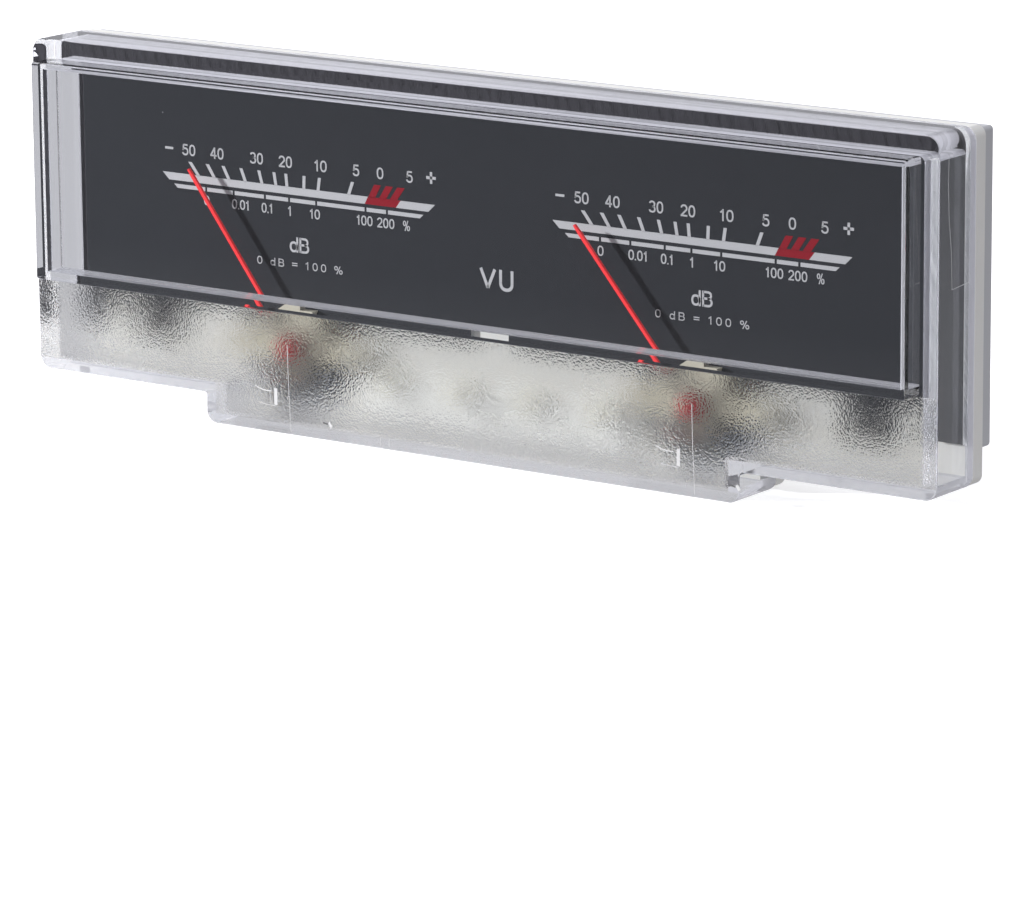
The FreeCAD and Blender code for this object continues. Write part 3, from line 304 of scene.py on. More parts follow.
class Wear(Effect):
    """Bare or polished edges: where the rounded normal departs from the face's own."""

    title = "edge_wear"
    inputs = {"Vector": "Vector", "Scale": "Float", "Amount": "Float"}
    outputs = {"Mask": "Float"}
    reach = 0.22 * MM
    departure = (0.995, 0.85)
    breaks = (0.35, 0.65)

    def fill(self, tree: Tree, given: Given) -> Sockets:
        """Departure of the two normals, broken up by noise."""
        rounded = tree.node("ShaderNodeBevel", {"Radius": self.reach}, samples=4).outputs["Normal"]
        plain = tree.node("ShaderNodeNewGeometry").outputs["Normal"]
        edge = tree.spread(tree.vector("DOT_PRODUCT", rounded, plain), *self.departure)
        broken = tree.spread(tree.noise(given["Vector"], given["Scale"], detail=3.0), *self.breaks)
        return {"Mask": tree.times(edge, broken, given["Amount"])}


GRAIN, STREAKS, DUST, WEAR = Grain(), Streaks(), Dust(), Wear()


# ---- finishes


@dataclass(frozen=True)
class Finish:
    """A surface finish. Its material is made once and shared by all its pieces."""

    name: str
    colour: Colour
    roughness: float = 0.5

    @cache
    def material(self) -> bpy.types.Material:
        """The finish's material, made on first use."""
        made = bpy.data.materials.new(self.name)
        made.use_nodes = True
        made.node_tree.nodes.clear()
        tree = Tree(made.node_tree)
        plain = {"Base Color": opaque(self.colour), "Roughness": self.roughness}
        shader = tree.node("ShaderNodeBsdfPrincipled", plain)
        for name, value in self.dress(tree).items():
            tree.feed(shader.inputs[name], value)
        tree.node("ShaderNodeOutputMaterial", {"Surface": self.surface(tree, shader.outputs["BSDF"])})
        return made

    def dress(self, tree: Tree) -> Feeds:
        """Work out what the finish feeds to its shader.

        Args:
            tree: the material's nodes.

        Returns:
            Sockets and values, by the names of the shader's inputs.
        """
        raise NotImplementedError

    def surface(self, tree: Tree, shader: Socket) -> Socket:
        """Carry the shader to the material's output, as it is unless a finish says more.

        Args:
            tree: the material's nodes.
            shader: the dressed shader.

        Returns:
            The shader that the material puts out.
        """
        return shader

    def grained(self, tree: Tree, point: Socket, scale: float, variation: float) -> Sockets:
        """The shared grain in this finish's colour."""
        return tree.group(GRAIN, Vector=point, Scale=scale, Colour=opaque(self.colour), Variation=variation)


@dataclass(frozen=True)
class Moulded(Finish):
    """Moulded plastic with a fine satin grain and slightly rubbed edges."""

    grain: float = 4000.0
    depth: float = 0.004 * MM
    variation: float = 0.12
    rubbed: float = 0.35
    glow: float = 0.0
    glow_reach: Triple = (0.6 * MM, 0.5 * MM, 0.4 * MM)
    wear_scale: float = 0.3
    wear_share: float = 0.5
    uneven: float = 0.08
    paling: float = 0.4

    def dress(self, tree: Tree) -> Feeds:
        """Grain in height, colour and roughness, paler where edges are rubbed."""
        point = tree.place()
        grain = self.grained(tree, point, self.grain, self.variation)
        worn = tree.group(WEAR, Vector=point, Scale=self.grain * self.wear_scale, Amount=self.rubbed)
        pale = tuple((1 - self.paling) * share + self.paling for share in self.colour)
        smooth, coarse = self.roughness - self.uneven, self.roughness + self.uneven
        feeds = {
            "Base Color": tree.mix(tree.times(worn["Mask"], self.wear_share), grain["Colour"], pale),
            "Roughness": tree.spread(grain["Shade"], *NOISE_SPAN, smooth, coarse),
            "Normal": tree.bump(grain["Height"], self.depth),
        }
        if self.glow:
            feeds |= {"Subsurface Weight": self.glow, "Subsurface Radius": self.glow_reach}
        return feeds


@dataclass(frozen=True)
class Metal(Finish):
    """Rolled, drawn, plated or turned metal with streaks and a dull film in patches."""

    along: Axis = Axis.X
    scale: float = 2500.0
    film: Colour = (0.3, 0.28, 0.25)
    filmed: float = 0.35
    depth: float = 0.003 * MM
    bare: float = 1.0
    shades: Point = (0.82, 1.12)
    patch_scale: float = 0.15
    patch_span: Point = (0.45, 0.75)
    patch_rough: float = 0.3
    uneven: Point = (-0.06, 0.1)

    def dress(self, tree: Tree) -> Feeds:
        """Streaks in height, colour and roughness, with a film that noise breaks up."""
        point = tree.place()
        streaks = tree.streaks(point, self.along, self.scale)
        patches = tree.noise(point, self.scale * self.patch_scale, detail=4.0)
        film = tree.spread(patches, *self.patch_span, 0.0, self.filmed)
        drawn = tree.mix(streaks["Shade"], *(shaded(self.colour, factor) for factor in self.shades))
        rough = tree.spread(streaks["Height"], *NOISE_SPAN, *(self.roughness + step for step in self.uneven))
        return {
            "Base Color": tree.mix(film, drawn, self.film),
            "Metallic": self.bare,
            "Roughness": tree.math("ADD", rough, tree.times(film, self.patch_rough)),
            "Normal": tree.bump(streaks["Height"], self.depth),
        }


@dataclass(frozen=True)
class Painted(Finish):
    """Paint or ink: a thin even coat with a fine orange-peel."""

    gloss: float = 0.15
    grain: float = 6000.0
    depth: float = 0.002 * MM
    variation: float = 0.1

    def dress(self, tree: Tree) -> Feeds:
        """Grain in height and colour."""
        grain = self.grained(tree, tree.place(), self.grain, self.variation)
        return {
            "Base Color": grain["Colour"],
            "Specular IOR Level": self.gloss,
            "Normal": tree.bump(grain["Height"], self.depth),
        }


@dataclass(frozen=True)
class PointerPaint(Painted):
    """Bright paint with a painted glow on the far part of a pointer. Near its hub the pointer is bare rolled
    metal.
    """

    gloss: float = 0.5
    bare: Colour = (0.62, 0.62, 0.63)
    dull: float = 0.8
    streak_scale: float = 4000.0
    # strength of the painted glow: light that the paint gives off, though it is no lamp
    painted_glow: float = 0.2
    axis: Point = (30.1 * MM, 9.7 * MM)
    start: float = 6.0 * MM

    def dress(self, tree: Tree) -> Feeds:
        """Paint and its painted glow where sqrt(x * x + z * z), the distance from the pointer's axis, is
        beyond its start.
        """
        paint = super().dress(tree)
        point = tree.place()
        across = tree.math("SUBTRACT", tree.math("ABSOLUTE", tree.part(point, "X")), self.axis[0])
        up = tree.math("SUBTRACT", tree.part(point, "Z"), self.axis[1])
        away = tree.node("ShaderNodeCombineXYZ", {"X": across, "Z": up}).outputs[0]
        painted = tree.over(tree.vector("LENGTH", away), self.start)
        streaks = tree.streaks(point, Axis.Z, self.streak_scale)
        metal = tree.mix(streaks["Shade"], shaded(self.bare, self.dull), self.bare)
        return paint | {
            "Base Color": tree.mix(painted, metal, paint["Base Color"]),
            "Metallic": tree.math("SUBTRACT", 1.0, painted),
            # painted glow: the paint's own colour given off as light
            "Emission Color": tree.mix(painted, BLACK, paint["Base Color"]),
            "Emission Strength": self.painted_glow,
        }


@dataclass(frozen=True)
class DialSheet(Finish):
    """Matt charcoal paint on the front of an aluminium sheet, with a little dust on the paint."""

    grain: float = 900.0
    variation: float = 0.1
    dusts: tuple[Triple, Triple] = ((330.0, 0.04, 0.11), (110.0, 0.024, 0.12))
    speck: Colour = (0.42, 0.44, 0.46)
    speck_share: float = 0.8
    margin: Colour = (0.85, 0.85, 0.85)
    # painted haze: paler paint behind the cover's wall, standing in for light scattered in that wall
    painted_haze: Colour = (0.09, 0.088, 0.1)
    frontward: float = -0.5
    margin_start: float = 64.4 * MM
    head_start: float = 43.6 * MM
    gloss: float = 0.1
    metal: Colour = (0.78, 0.79, 0.8)
    dull: float = 0.8
    streak_scale: float = 2500.0
    bare_roughness: Point = (0.25, 0.4)
    paint_roughness: float = 0.5

    def dress(self, tree: Tree) -> Feeds:
        """Paint in front with a painted haze where the cover holds it, pale on its right margin, and bare
        edges and back.
        """
        point = tree.place()
        across = tree.part(point, "X")
        front = tree.under(tree.facing("Y"), self.frontward)
        grain = self.grained(tree, point, self.grain, self.variation)
        small, large = (
            tree.group(DUST, Vector=point, Scale=scale, Size=size, Amount=amount)["Mask"]
            for scale, size, amount in self.dusts
        )
        dusty = tree.times(tree.math("MAXIMUM", small, large), self.speck_share)
        beyond = tree.under(across, -self.margin_start)
        above = tree.over(tree.part(point, "Z"), self.head_start)
        paint = tree.mix(dusty, grain["Colour"], self.speck)
        # painted haze at the left end and along the top, where the cover's wall lies in front
        held = tree.mix(tree.math("MAXIMUM", beyond, above), paint, self.painted_haze)
        # the right margin is pale
        pale_right_band = tree.mix(tree.over(across, self.margin_start), held, self.margin)
        streaks = tree.streaks(point, Axis.X, self.streak_scale)
        bare = tree.mix(streaks["Shade"], shaded(self.metal, self.dull), self.metal)
        rough = tree.spread(streaks["Height"], *NOISE_SPAN, *self.bare_roughness)
        return {
            "Base Color": tree.mix(front, bare, pale_right_band),
            "Metallic": tree.math("SUBTRACT", 1.0, front),
            "Roughness": tree.math("ADD", rough, tree.times(front, self.paint_roughness)),
            "Specular IOR Level": self.gloss,
        }


@dataclass(frozen=True)
class ClearCover(Finish):
    """Clear polystyrene: polished, grained on its lower band, milky under its top and at its glue joints.

    In millimetres, a frost has a half width, a lower and an upper height, and a cloud a lower and an upper
    height, a front and a back. A cloud's last number is its share of milky skin.
    """

    face: float = -7.0 * MM
    skin: float = 0.05 * MM
    frosts: tuple[Triple, ...] = ((66.85, 5.25, 15.95), (38.4, 1.3, 5.3))
    pebble: float = 0.28 * MM
    pebble_depth: float = 0.11 * MM
    pit_span: Point = (0.35, 0.6)
    frost_roughness: float = 0.27
    frost_pits: Colour = (0.83, 0.825, 0.79)
    frost_tint: Colour = (0.87, 0.86, 0.82)
    frost_shade: Colour = (0.85, 0.85, 0.85)
    clear_shade: Colour = (0.95, 0.955, 0.965)
    refraction: float = 1.49
    smear_scale: float = 90.0
    smear: float = 0.015
    smear_span: Point = (0.5, 0.8)
    clouds: tuple[Row, ...] = (
        (41.0, 43.75, -5.3, -3.0, 0.9),
        (41.0, 43.75, -3.0, -2.0, 0.6),
        (41.0, 43.75, -2.0, 0.48, 0.9),
        (42.8, 42.9, -8.7, -5.35, 0.75),
        (16.95, 17.05, -8.7, -5.35, 0.35),
    )
    streak_scale: float = 2500.0
    streak_span: Row = (0.35, 0.6, 0.6, 1.0)
    flat: float = 0.35
    upright: float = 0.7
    ends: Point = (0.3 * MM, 1.1 * MM)
    end_share: float = 0.55
    pale_right_band: Point = (-0.25 * MM, 1.1 * MM)
    glue_start: float = 66.0 * MM
    milk: Colour = (0.72, 0.72, 0.77)
    milk_roughness: float = 0.4

    def frosted(self, tree: Tree, point: Socket) -> Socket:
        """1 on the face's grained band, and 0 elsewhere.

        Args:
            tree: the material's nodes.
            point: point of the surface.

        Returns:
            The mask.
        """
        across, up = tree.math("ABSOLUTE", tree.part(point, "X")), tree.part(point, "Z")
        masks = [
            tree.times(tree.under(across, half * MM), tree.between(up, low * MM, high * MM))
            for half, low, high in self.frosts
        ]
        on_face = tree.between(tree.part(point, "Y"), self.face - self.skin, self.face + self.skin)
        return tree.times(on_face, tree.math("MAXIMUM", *masks))

    def milky(self, tree: Tree, point: Socket) -> Socket:
        """Share of milky skin: in bands under the top, on the window's rails and at the ends where glue joins
        it.

        Args:
            tree: the material's nodes.
            point: point of the surface.

        Returns:
            The share, from 0 to 1.
        """
        depth, up = tree.part(point, "Y"), tree.part(point, "Z")
        flat = tree.over(tree.math("ABSOLUTE", tree.facing("Z")), self.flat)
        streaks = tree.streaks(point, Axis.X, self.streak_scale)
        drawn = tree.times(flat, tree.spread(streaks["Shade"], *self.streak_span))
        across = tree.over(tree.math("ABSOLUTE", tree.facing("Y")), self.upright)
        behind = tree.times(across, tree.between(depth, *self.ends))
        right = tree.over(tree.part(point, "X"), self.glue_start)
        beside = tree.times(right, tree.between(depth, *self.pale_right_band))
        total = tree.times(tree.math("MAXIMUM", behind, beside), self.end_share)
        for low, high, front, back, share in self.clouds:
            level = tree.between(up, low * MM, high * MM)
            inside = tree.times(level, tree.between(depth, front * MM, back * MM))
            total = tree.math("MAXIMUM", total, tree.times(inside, drawn, share))
        return total

    def dress(self, tree: Tree) -> Feeds:
        """Pebbled grain on the face's lower band, and a dull skin where the plastic is milky."""
        point = tree.place()
        frost = self.frosted(tree, point)
        satin = tree.times(self.milky(tree, point), self.milk_roughness)
        dull = tree.times(frost, self.frost_roughness)
        smears = tree.noise(point, self.smear_scale, detail=3.0)
        smear = tree.spread(smears, *self.smear_span, 0.0, self.smear)
        pebbles = tree.cells(point, 1 / self.pebble)
        pits = tree.mix(tree.spread(pebbles, *self.pit_span), self.frost_pits, self.frost_tint)
        return {
            "Base Color": tree.mix(frost, self.colour, pits),
            "Roughness": tree.math("ADD", tree.math("ADD", dull, satin), smear),
            "IOR": self.refraction,
            "Transmission Weight": 1.0,
            "Normal": tree.bump(tree.times(pebbles, frost), self.pebble_depth),
        }

    def surface(self, tree: Tree, shader: Socket) -> Socket:
        """The glass with its milky skin, which lets the lamps through to what is behind it."""
        point = tree.place()
        skin = tree.node("ShaderNodeBsdfDiffuse", {"Color": opaque(self.milk)})
        glass = tree.blend(self.milky(tree, point), shader, skin.outputs["BSDF"])
        shade = tree.mix(self.frosted(tree, point), self.clear_shade, self.frost_shade)
        clear = tree.node("ShaderNodeBsdfTransparent", {"Color": shade})
        lit = tree.node("ShaderNodeLightPath").outputs["Is Shadow Ray"]
        return tree.blend(lit, glass, clear.outputs["BSDF"])


@dataclass(frozen=True)
class Paper(Finish):
    """Pale paper. To all rays but the camera's it is a dull glow, dimmer in front and to the right."""

    seen_glow: Colour = (0.45, 0.45, 0.45)
    front_glow: Colour = (0.17, 0.17, 0.18)
    left_glow: Colour = (0.65, 0.65, 0.68)
    right_glow: Colour = (0.37, 0.37, 0.39)
    backward: Point = (-0.1, 0.02)
    rightward: Point = (0.02, 0.2)

    def dress(self, tree: Tree) -> Feeds:
        """A plain sheet to the camera, and a glow without any gloss to all other rays."""
        point = tree.place()
        seen = tree.node("ShaderNodeLightPath").outputs["Is Camera Ray"]
        beside = tree.spread(tree.part(point, "X"), *self.rightward)
        behind = tree.spread(tree.part(point, "Y"), *self.backward)
        unseen = tree.mix(behind, self.front_glow, tree.mix(beside, self.left_glow, self.right_glow))
        return {
            "Base Color": tree.mix(seen, BLACK, self.colour),
            "Specular IOR Level": 0.0,
            "Emission Color": tree.mix(seen, unseen, self.seen_glow),
            "Emission Strength": 1.0,
        }


class Finishes(Enum):
    """Every finish of the meter, by the record's name of its slot where it has one."""

    clear_cover = ClearCover("clear_polystyrene", (0.965, 0.97, 0.985), 0.0)
    dial_sheet = DialSheet("charcoal_dial_paint", (0.033, 0.035, 0.04), 0.6)
    cream_moulding = Moulded("cream_plastic", (0.72, 0.715, 0.68), 0.42, glow=0.15)
    grey_plate = Moulded("grey_plastic", (0.47, 0.475, 0.49), 0.5, grain=3000.0, depth=0.008 * MM)
    zinc_steel = Metal("zinc_plated_steel", (0.66, 0.67, 0.68), 0.28, Axis.Z, film=(0.4, 0.4, 0.38))
    board = Moulded("white_solder_mask", (0.86, 0.87, 0.85), 0.3, grain=2500.0, depth=0.003 * MM)
    diode = Moulded("white_diode_case", (0.88, 0.87, 0.78), 0.25, grain=7000.0, depth=0.001 * MM)
    tinned_pin = Metal("tinned_wire", (0.74, 0.73, 0.7), 0.3, Axis.Y, 6000.0, (0.45, 0.43, 0.4))
    black_moulding = Moulded("black_plastic", (0.022, 0.022, 0.024), 0.45, depth=0.006 * MM, rubbed=0.15)
    plated_iron = Metal("blue_zinc_iron", (0.5, 0.54, 0.62), 0.3, Axis.Y, film=(0.32, 0.36, 0.4))
    magnet = Metal("ground_magnet", (0.3, 0.3, 0.31), 0.42, Axis.X, 4000.0, (0.12, 0.11, 0.1))
    cream_bridge = Moulded("ivory_plastic", (0.56, 0.53, 0.43), 0.45, grain=5000.0, glow=0.1)
    brass = Metal("turned_brass", (0.78, 0.6, 0.3), 0.25, Axis.Y, 7000.0, (0.35, 0.22, 0.1))
    lever_sheet = Metal("stamped_brass", (0.72, 0.58, 0.34), 0.33, Axis.Z, film=(0.32, 0.22, 0.12))
    spring_bronze = Metal("bronze_strip", (0.72, 0.46, 0.26), 0.24, Axis.Y, 9000.0, (0.3, 0.16, 0.1))
    red_hub = Moulded("red_plastic", (0.42, 0.02, 0.028), 0.35, grain=6000.0, depth=0.002 * MM)
    red_pointer = PointerPaint("red_paint_with_painted_glow", (0.93, 0.045, 0.05), 0.4)
    tin_bead = Metal("crimped_tin", (0.68, 0.67, 0.64), 0.38, Axis.X, 7000.0, (0.4, 0.38, 0.35))
    steel_staff = Metal("polished_steel", (0.62, 0.62, 0.63), 0.15, Axis.Y, 9000.0, filmed=0.1)
    former_sheet = Metal("aluminium_strip", (0.78, 0.79, 0.8), 0.3, Axis.Y, 5000.0, filmed=0.15)
    copper_winding = Metal("enamelled_wire", (0.6, 0.15, 0.09), 0.3, Axis.Y, 5e3, (0.4, 0.1, 0.06), bare=0.2)
    pale_ink = Painted("pale_grey_ink", (0.52, 0.52, 0.53), 0.55, variation=0.08)
    red_ink = Painted("dull_red_ink", (0.28, 0.012, 0.022), 0.5, variation=0.08)
    flow_line = Moulded("pale_flow_line", (0.66, 0.66, 0.66), 0.4, rubbed=0.0)
    shade_line = Moulded("dark_gate_mark", (0.13, 0.13, 0.132), 0.35, rubbed=0.0)

    @property
    def material(self) -> bpy.types.Material:
        """The finish's material."""
        return self.value.material()


# ---- surfaces


def placed(name: str, data: bpy.types.ID) -> bpy.types.Object:
    """A new object in the scene, at the origin."""
    made = bpy.data.objects.new(name, data)
    bpy.context.scene.collection.objects.link(made)
    return made


def sheet(across: Array, up: Array, depth: float) -> Array:
    """Points in metres of X and Z in millimetres, all at one Y."""
    return np.stack([across, np.full_like(across, depth), up], axis=-1) * MM


@dataclass
class Shell:
    """Points and faces of a piece, gathered from several surfaces before the mesh is made."""

    points: list[Array] = field(default_factory=list)
    faces: list[list[int]] = field(default_factory=list)

    def add(self, points: Array, faces: list[list[int]]) -> None:
        """Add one surface's points and faces, counted on from those it already holds."""
        held = sum(map(len, self.points))
        self.points.append(points)
        self.faces.extend([index + held for index in face] for face in faces)

    def slab(self, front: Array, depth: float) -> None:
        """Add a thin closed slab whose front is a grid of points and whose back lies deeper in Y.

        The surface is front(i, j) and front(i, j) + (0, depth, 0), joined by a wall round the grid's border.

        Args:
            front: points of the front, rows by columns by 3, in metres.
            depth: thickness of the slab towards the rear, in metres.
        """
        rows, columns = front.shape[:2]
        face = front.reshape(-1, 3)
        both = np.concatenate([face, face + np.array((0.0, depth, 0.0))])
        index = np.arange(rows * columns).reshape(rows, columns)
        corners = (index[:-1, :-1], index[:-1, 1:], index[1:, 1:], index[1:, :-1])
        quads = np.stack(corners, axis=-1).reshape(-1, 4)
        border = np.concatenate([index[0], index[1:, -1], index[-1, -2::-1], index[-2:0:-1, 0]])
        after = np.roll(border, -1)
        shift = rows * columns
        walls = np.stack([border, border + shift, after + shift, after], axis=-1)
        self.add(both, np.concatenate([quads, quads[:, ::-1] + shift, walls]).tolist())

    def ribbon(self, path: Array, width: float, through: Array, closed: bool = False) -> None:
        """Add a flat strip: a rectangle carried along a path.

        With T(s) the path's direction, D its thickness and N = T x D made one long, the four rails are
        path(s) + N * width / 2, path(s) - N * width / 2 and the same plus D.

        Args:
            path: points of the strip's middle line, rows of three in metres.
            width: width across the path, metres.
            through: the strip's thickness as a vector, metres.
            closed: whether the last point joins the first.
        """
        ahead = np.roll(path, -1, axis=0) - np.roll(path, 1, axis=0) if closed else np.gradient(path, axis=0)
        aside = np.cross(ahead, through)
        aside *= width / 2 / np.linalg.norm(aside, axis=1, keepdims=True)
        rails = np.stack([path + aside, path - aside, path - aside + through, path + aside + through], axis=1)
        index = np.arange(len(path) * 4).reshape(-1, 4)
        after = np.roll(index, -1, axis=0)
        spans = slice(None) if closed else slice(0, -1)
        turned = np.roll(index, -1, axis=1)
        walls = np.stack([index, turned, np.roll(turned, -1, axis=0), after], axis=-1)[spans].reshape(-1, 4)
        ends = [] if closed else index[[0, -1]].tolist()
        self.add(rails.reshape(-1, 3), walls.tolist() + ends)

    def piece(self, name: str, finish: Finishes, body: str = HOUSING) -> None:
        """Make the piece with its faces turned outwards, dress it and let it ride on a body.

        Args:
            name: name of the piece.
            finish: its finish.
            body: body that it rides on.
        """
        mesh = bpy.data.meshes.new(name)
        mesh.from_pydata(np.concatenate(self.points).tolist(), [], self.faces)
        mesh.materials.append(finish.material)
        outward = bmesh.new()
        outward.from_mesh(mesh)
        bmesh.ops.recalc_face_normals(outward, faces=outward.faces)
        outward.to_mesh(mesh)
        outward.free()
        made = placed(name, mesh)
        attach(made, body)
        log.info("%s: %d faces on %s", name, len(mesh.polygons), body)


@dataclass(frozen=True)
class Bar:
    """Straight stroke of a glyph, between two points in shares of the glyph's box."""

    start: Point
    end: Point
    closed = False

    def path(self) -> Array:
        """Points of the stroke: start + s * (end - start)."""
        return np.array((self.start, self.end), float)


@dataclass(frozen=True)
class Bow:
    """Curved stroke of a glyph, a stretch of a full oval, in shares of the glyph's box."""

    middle: Point
    reach: Point
    start: float = 0.0
    end: float = 360.0
    fullness: float = 2.3
    steps: int = 33

    @property
    def closed(self) -> bool:
        """Whether the stroke is a whole ring."""
        return abs(self.end - self.start) == 360.0

    def path(self) -> Array:
        """Points of the stroke: middle + reach * (c, s), each of cos and sin drawn out by the fullness.

        c is cos(angle) with its size raised to 2 / fullness, and s is sin(angle) treated alike.
        """
        turn = np.radians(np.linspace(self.start, self.end, self.steps))
        round_points = np.stack([np.cos(turn), np.sin(turn)], axis=-1)
        full = np.sign(round_points) * np.abs(round_points) ** (2 / self.fullness)
        points = np.array(self.middle) + full * np.array(self.reach)
        return points[:-1] if self.closed else points


@dataclass(frozen=True)
class Sign:
    """Strokes of one printed sign, its width and the room after it, both as shares of its height."""

    width: float
    strokes: tuple[Bar | Bow, ...] = ()
    after: float = 0.1


# Plain grotesque figures, units and letters of the scales.
SIGNS = {
    "0": Sign(0.68, (Bow((0.5, 0.5), (0.5, 0.5), fullness=2.4),)),
    "1": Sign(0.36, (Bar((1.0, -0.08), (1.0, 1.08)), Bar((-0.1, 0.74), (1.0, 0.98))), 0.24),
    "2": Sign(0.68, (
        Bow((0.5, 0.7), (0.5, 0.3), 172.0, -32.0), Bar((0.93, 0.57), (0.07, 0.05)),
        Bar((-0.12, 0.0), (1.12, 0.0)),
    )),
    "3": Sign(0.68, (
        Bow((0.48, 0.75), (0.46, 0.25), 165.0, -90.0), Bow((0.48, 0.26), (0.52, 0.26), 90.0, -168.0),
    )),
    "4": Sign(0.72, (
        Bar((0.74, -0.08), (0.74, 1.08)), Bar((0.7, 1.0), (0.02, 0.28)), Bar((-0.1, 0.25), (1.12, 0.25)),
    )),
    "5": Sign(0.68, (
        Bar((0.12, 1.0), (0.98, 1.0)), Bar((0.17, 1.05), (0.05, 0.42)),
        Bow((0.48, 0.32), (0.52, 0.32), 152.0, -165.0),
    )),
    ".": Sign(0.15, (Bar((0.5, -0.08), (0.5, 0.08)),), 0.12),
    "%": Sign(1.1, (
        Bow((0.18, 0.76), (0.18, 0.24)), Bow((0.82, 0.24), (0.18, 0.24)), Bar((0.26, -0.08), (0.74, 1.08)),
    )),
    "=": Sign(0.7, (Bar((-0.1, 0.34), (1.1, 0.34)), Bar((-0.1, 0.66), (1.1, 0.66)))),
    "d": Sign(0.66, (Bow((0.48, 0.33), (0.48, 0.33)), Bar((1.0, -0.08), (1.0, 1.08)))),
    "B": Sign(0.74, (
        Bar((0.0, -0.08), (0.0, 1.08)), Bar((0.0, 1.0), (0.52, 1.0)), Bar((0.0, 0.53), (0.55, 0.53)),
        Bar((0.0, 0.0), (0.55, 0.0)), Bow((0.5, 0.765), (0.43, 0.235), 90.0, -90.0),
        Bow((0.53, 0.265), (0.47, 0.265), 90.0, -90.0),
    )),
    "V": Sign(0.9, (Bar((0.0, 1.06), (0.5, 0.0)), Bar((1.0, 1.06), (0.5, 0.0))), 0.16),
    "U": Sign(0.76, (
        Bar((0.0, 1.08), (0.0, 0.36)), Bar((1.0, 1.08), (1.0, 0.36)),
        Bow((0.5, 0.38), (0.5, 0.38), 180.0, 360.0),
    )),
    " ": Sign(0.2),
}


@dataclass(frozen=True)
class Word:
    """One printed number or unit, drawn with strokes of one width."""

    text: str
    across: float
    up: float
    height: float
    width: float
    stroke: float = 0.145
    spacing: float = 0.0

    def lay(self, shell: Shell, origin: Point, front: float, ink: float) -> None:
        """Add the word's strokes to a shell.

        Each sign's box is as wide as its share of the word, and the strokes' middle lines keep half a stroke
        inside it: x = left + stroke / 2 + u * (box - stroke), z = low + stroke / 2 + v * (height - stroke).

        Args:
            shell: where the strokes go.
            origin: X and Z that the word is counted from, millimetres.
            front: Y of the dial's front, millimetres.
            ink: thickness of the ink, millimetres.
        """
        signs = [SIGNS[letter] for letter in self.text]
        steps = np.array([sign.width + sign.after + self.spacing for sign in signs])
        natural = steps.sum() - signs[-1].after - self.spacing
        scale = self.width / natural
        before = np.concatenate([[0.0], np.cumsum(steps)[:-1]])
        lefts = origin[0] + self.across - self.width / 2 + before * scale
        thick = self.stroke * self.height
        for sign, left in zip(signs, lefts):
            room = np.array((max(sign.width * scale - thick, 0.0), self.height - thick))
            corner = np.array((left, origin[1] + self.up - self.height / 2)) + thick / 2
            for stroke in sign.strokes:
                flat = corner + stroke.path() * room
                path = sheet(*flat.T, front - ink)
                shell.ribbon(path, thick * MM, np.array((0.0, ink, 0.0)) * MM, stroke.closed)


# ---- printed scales


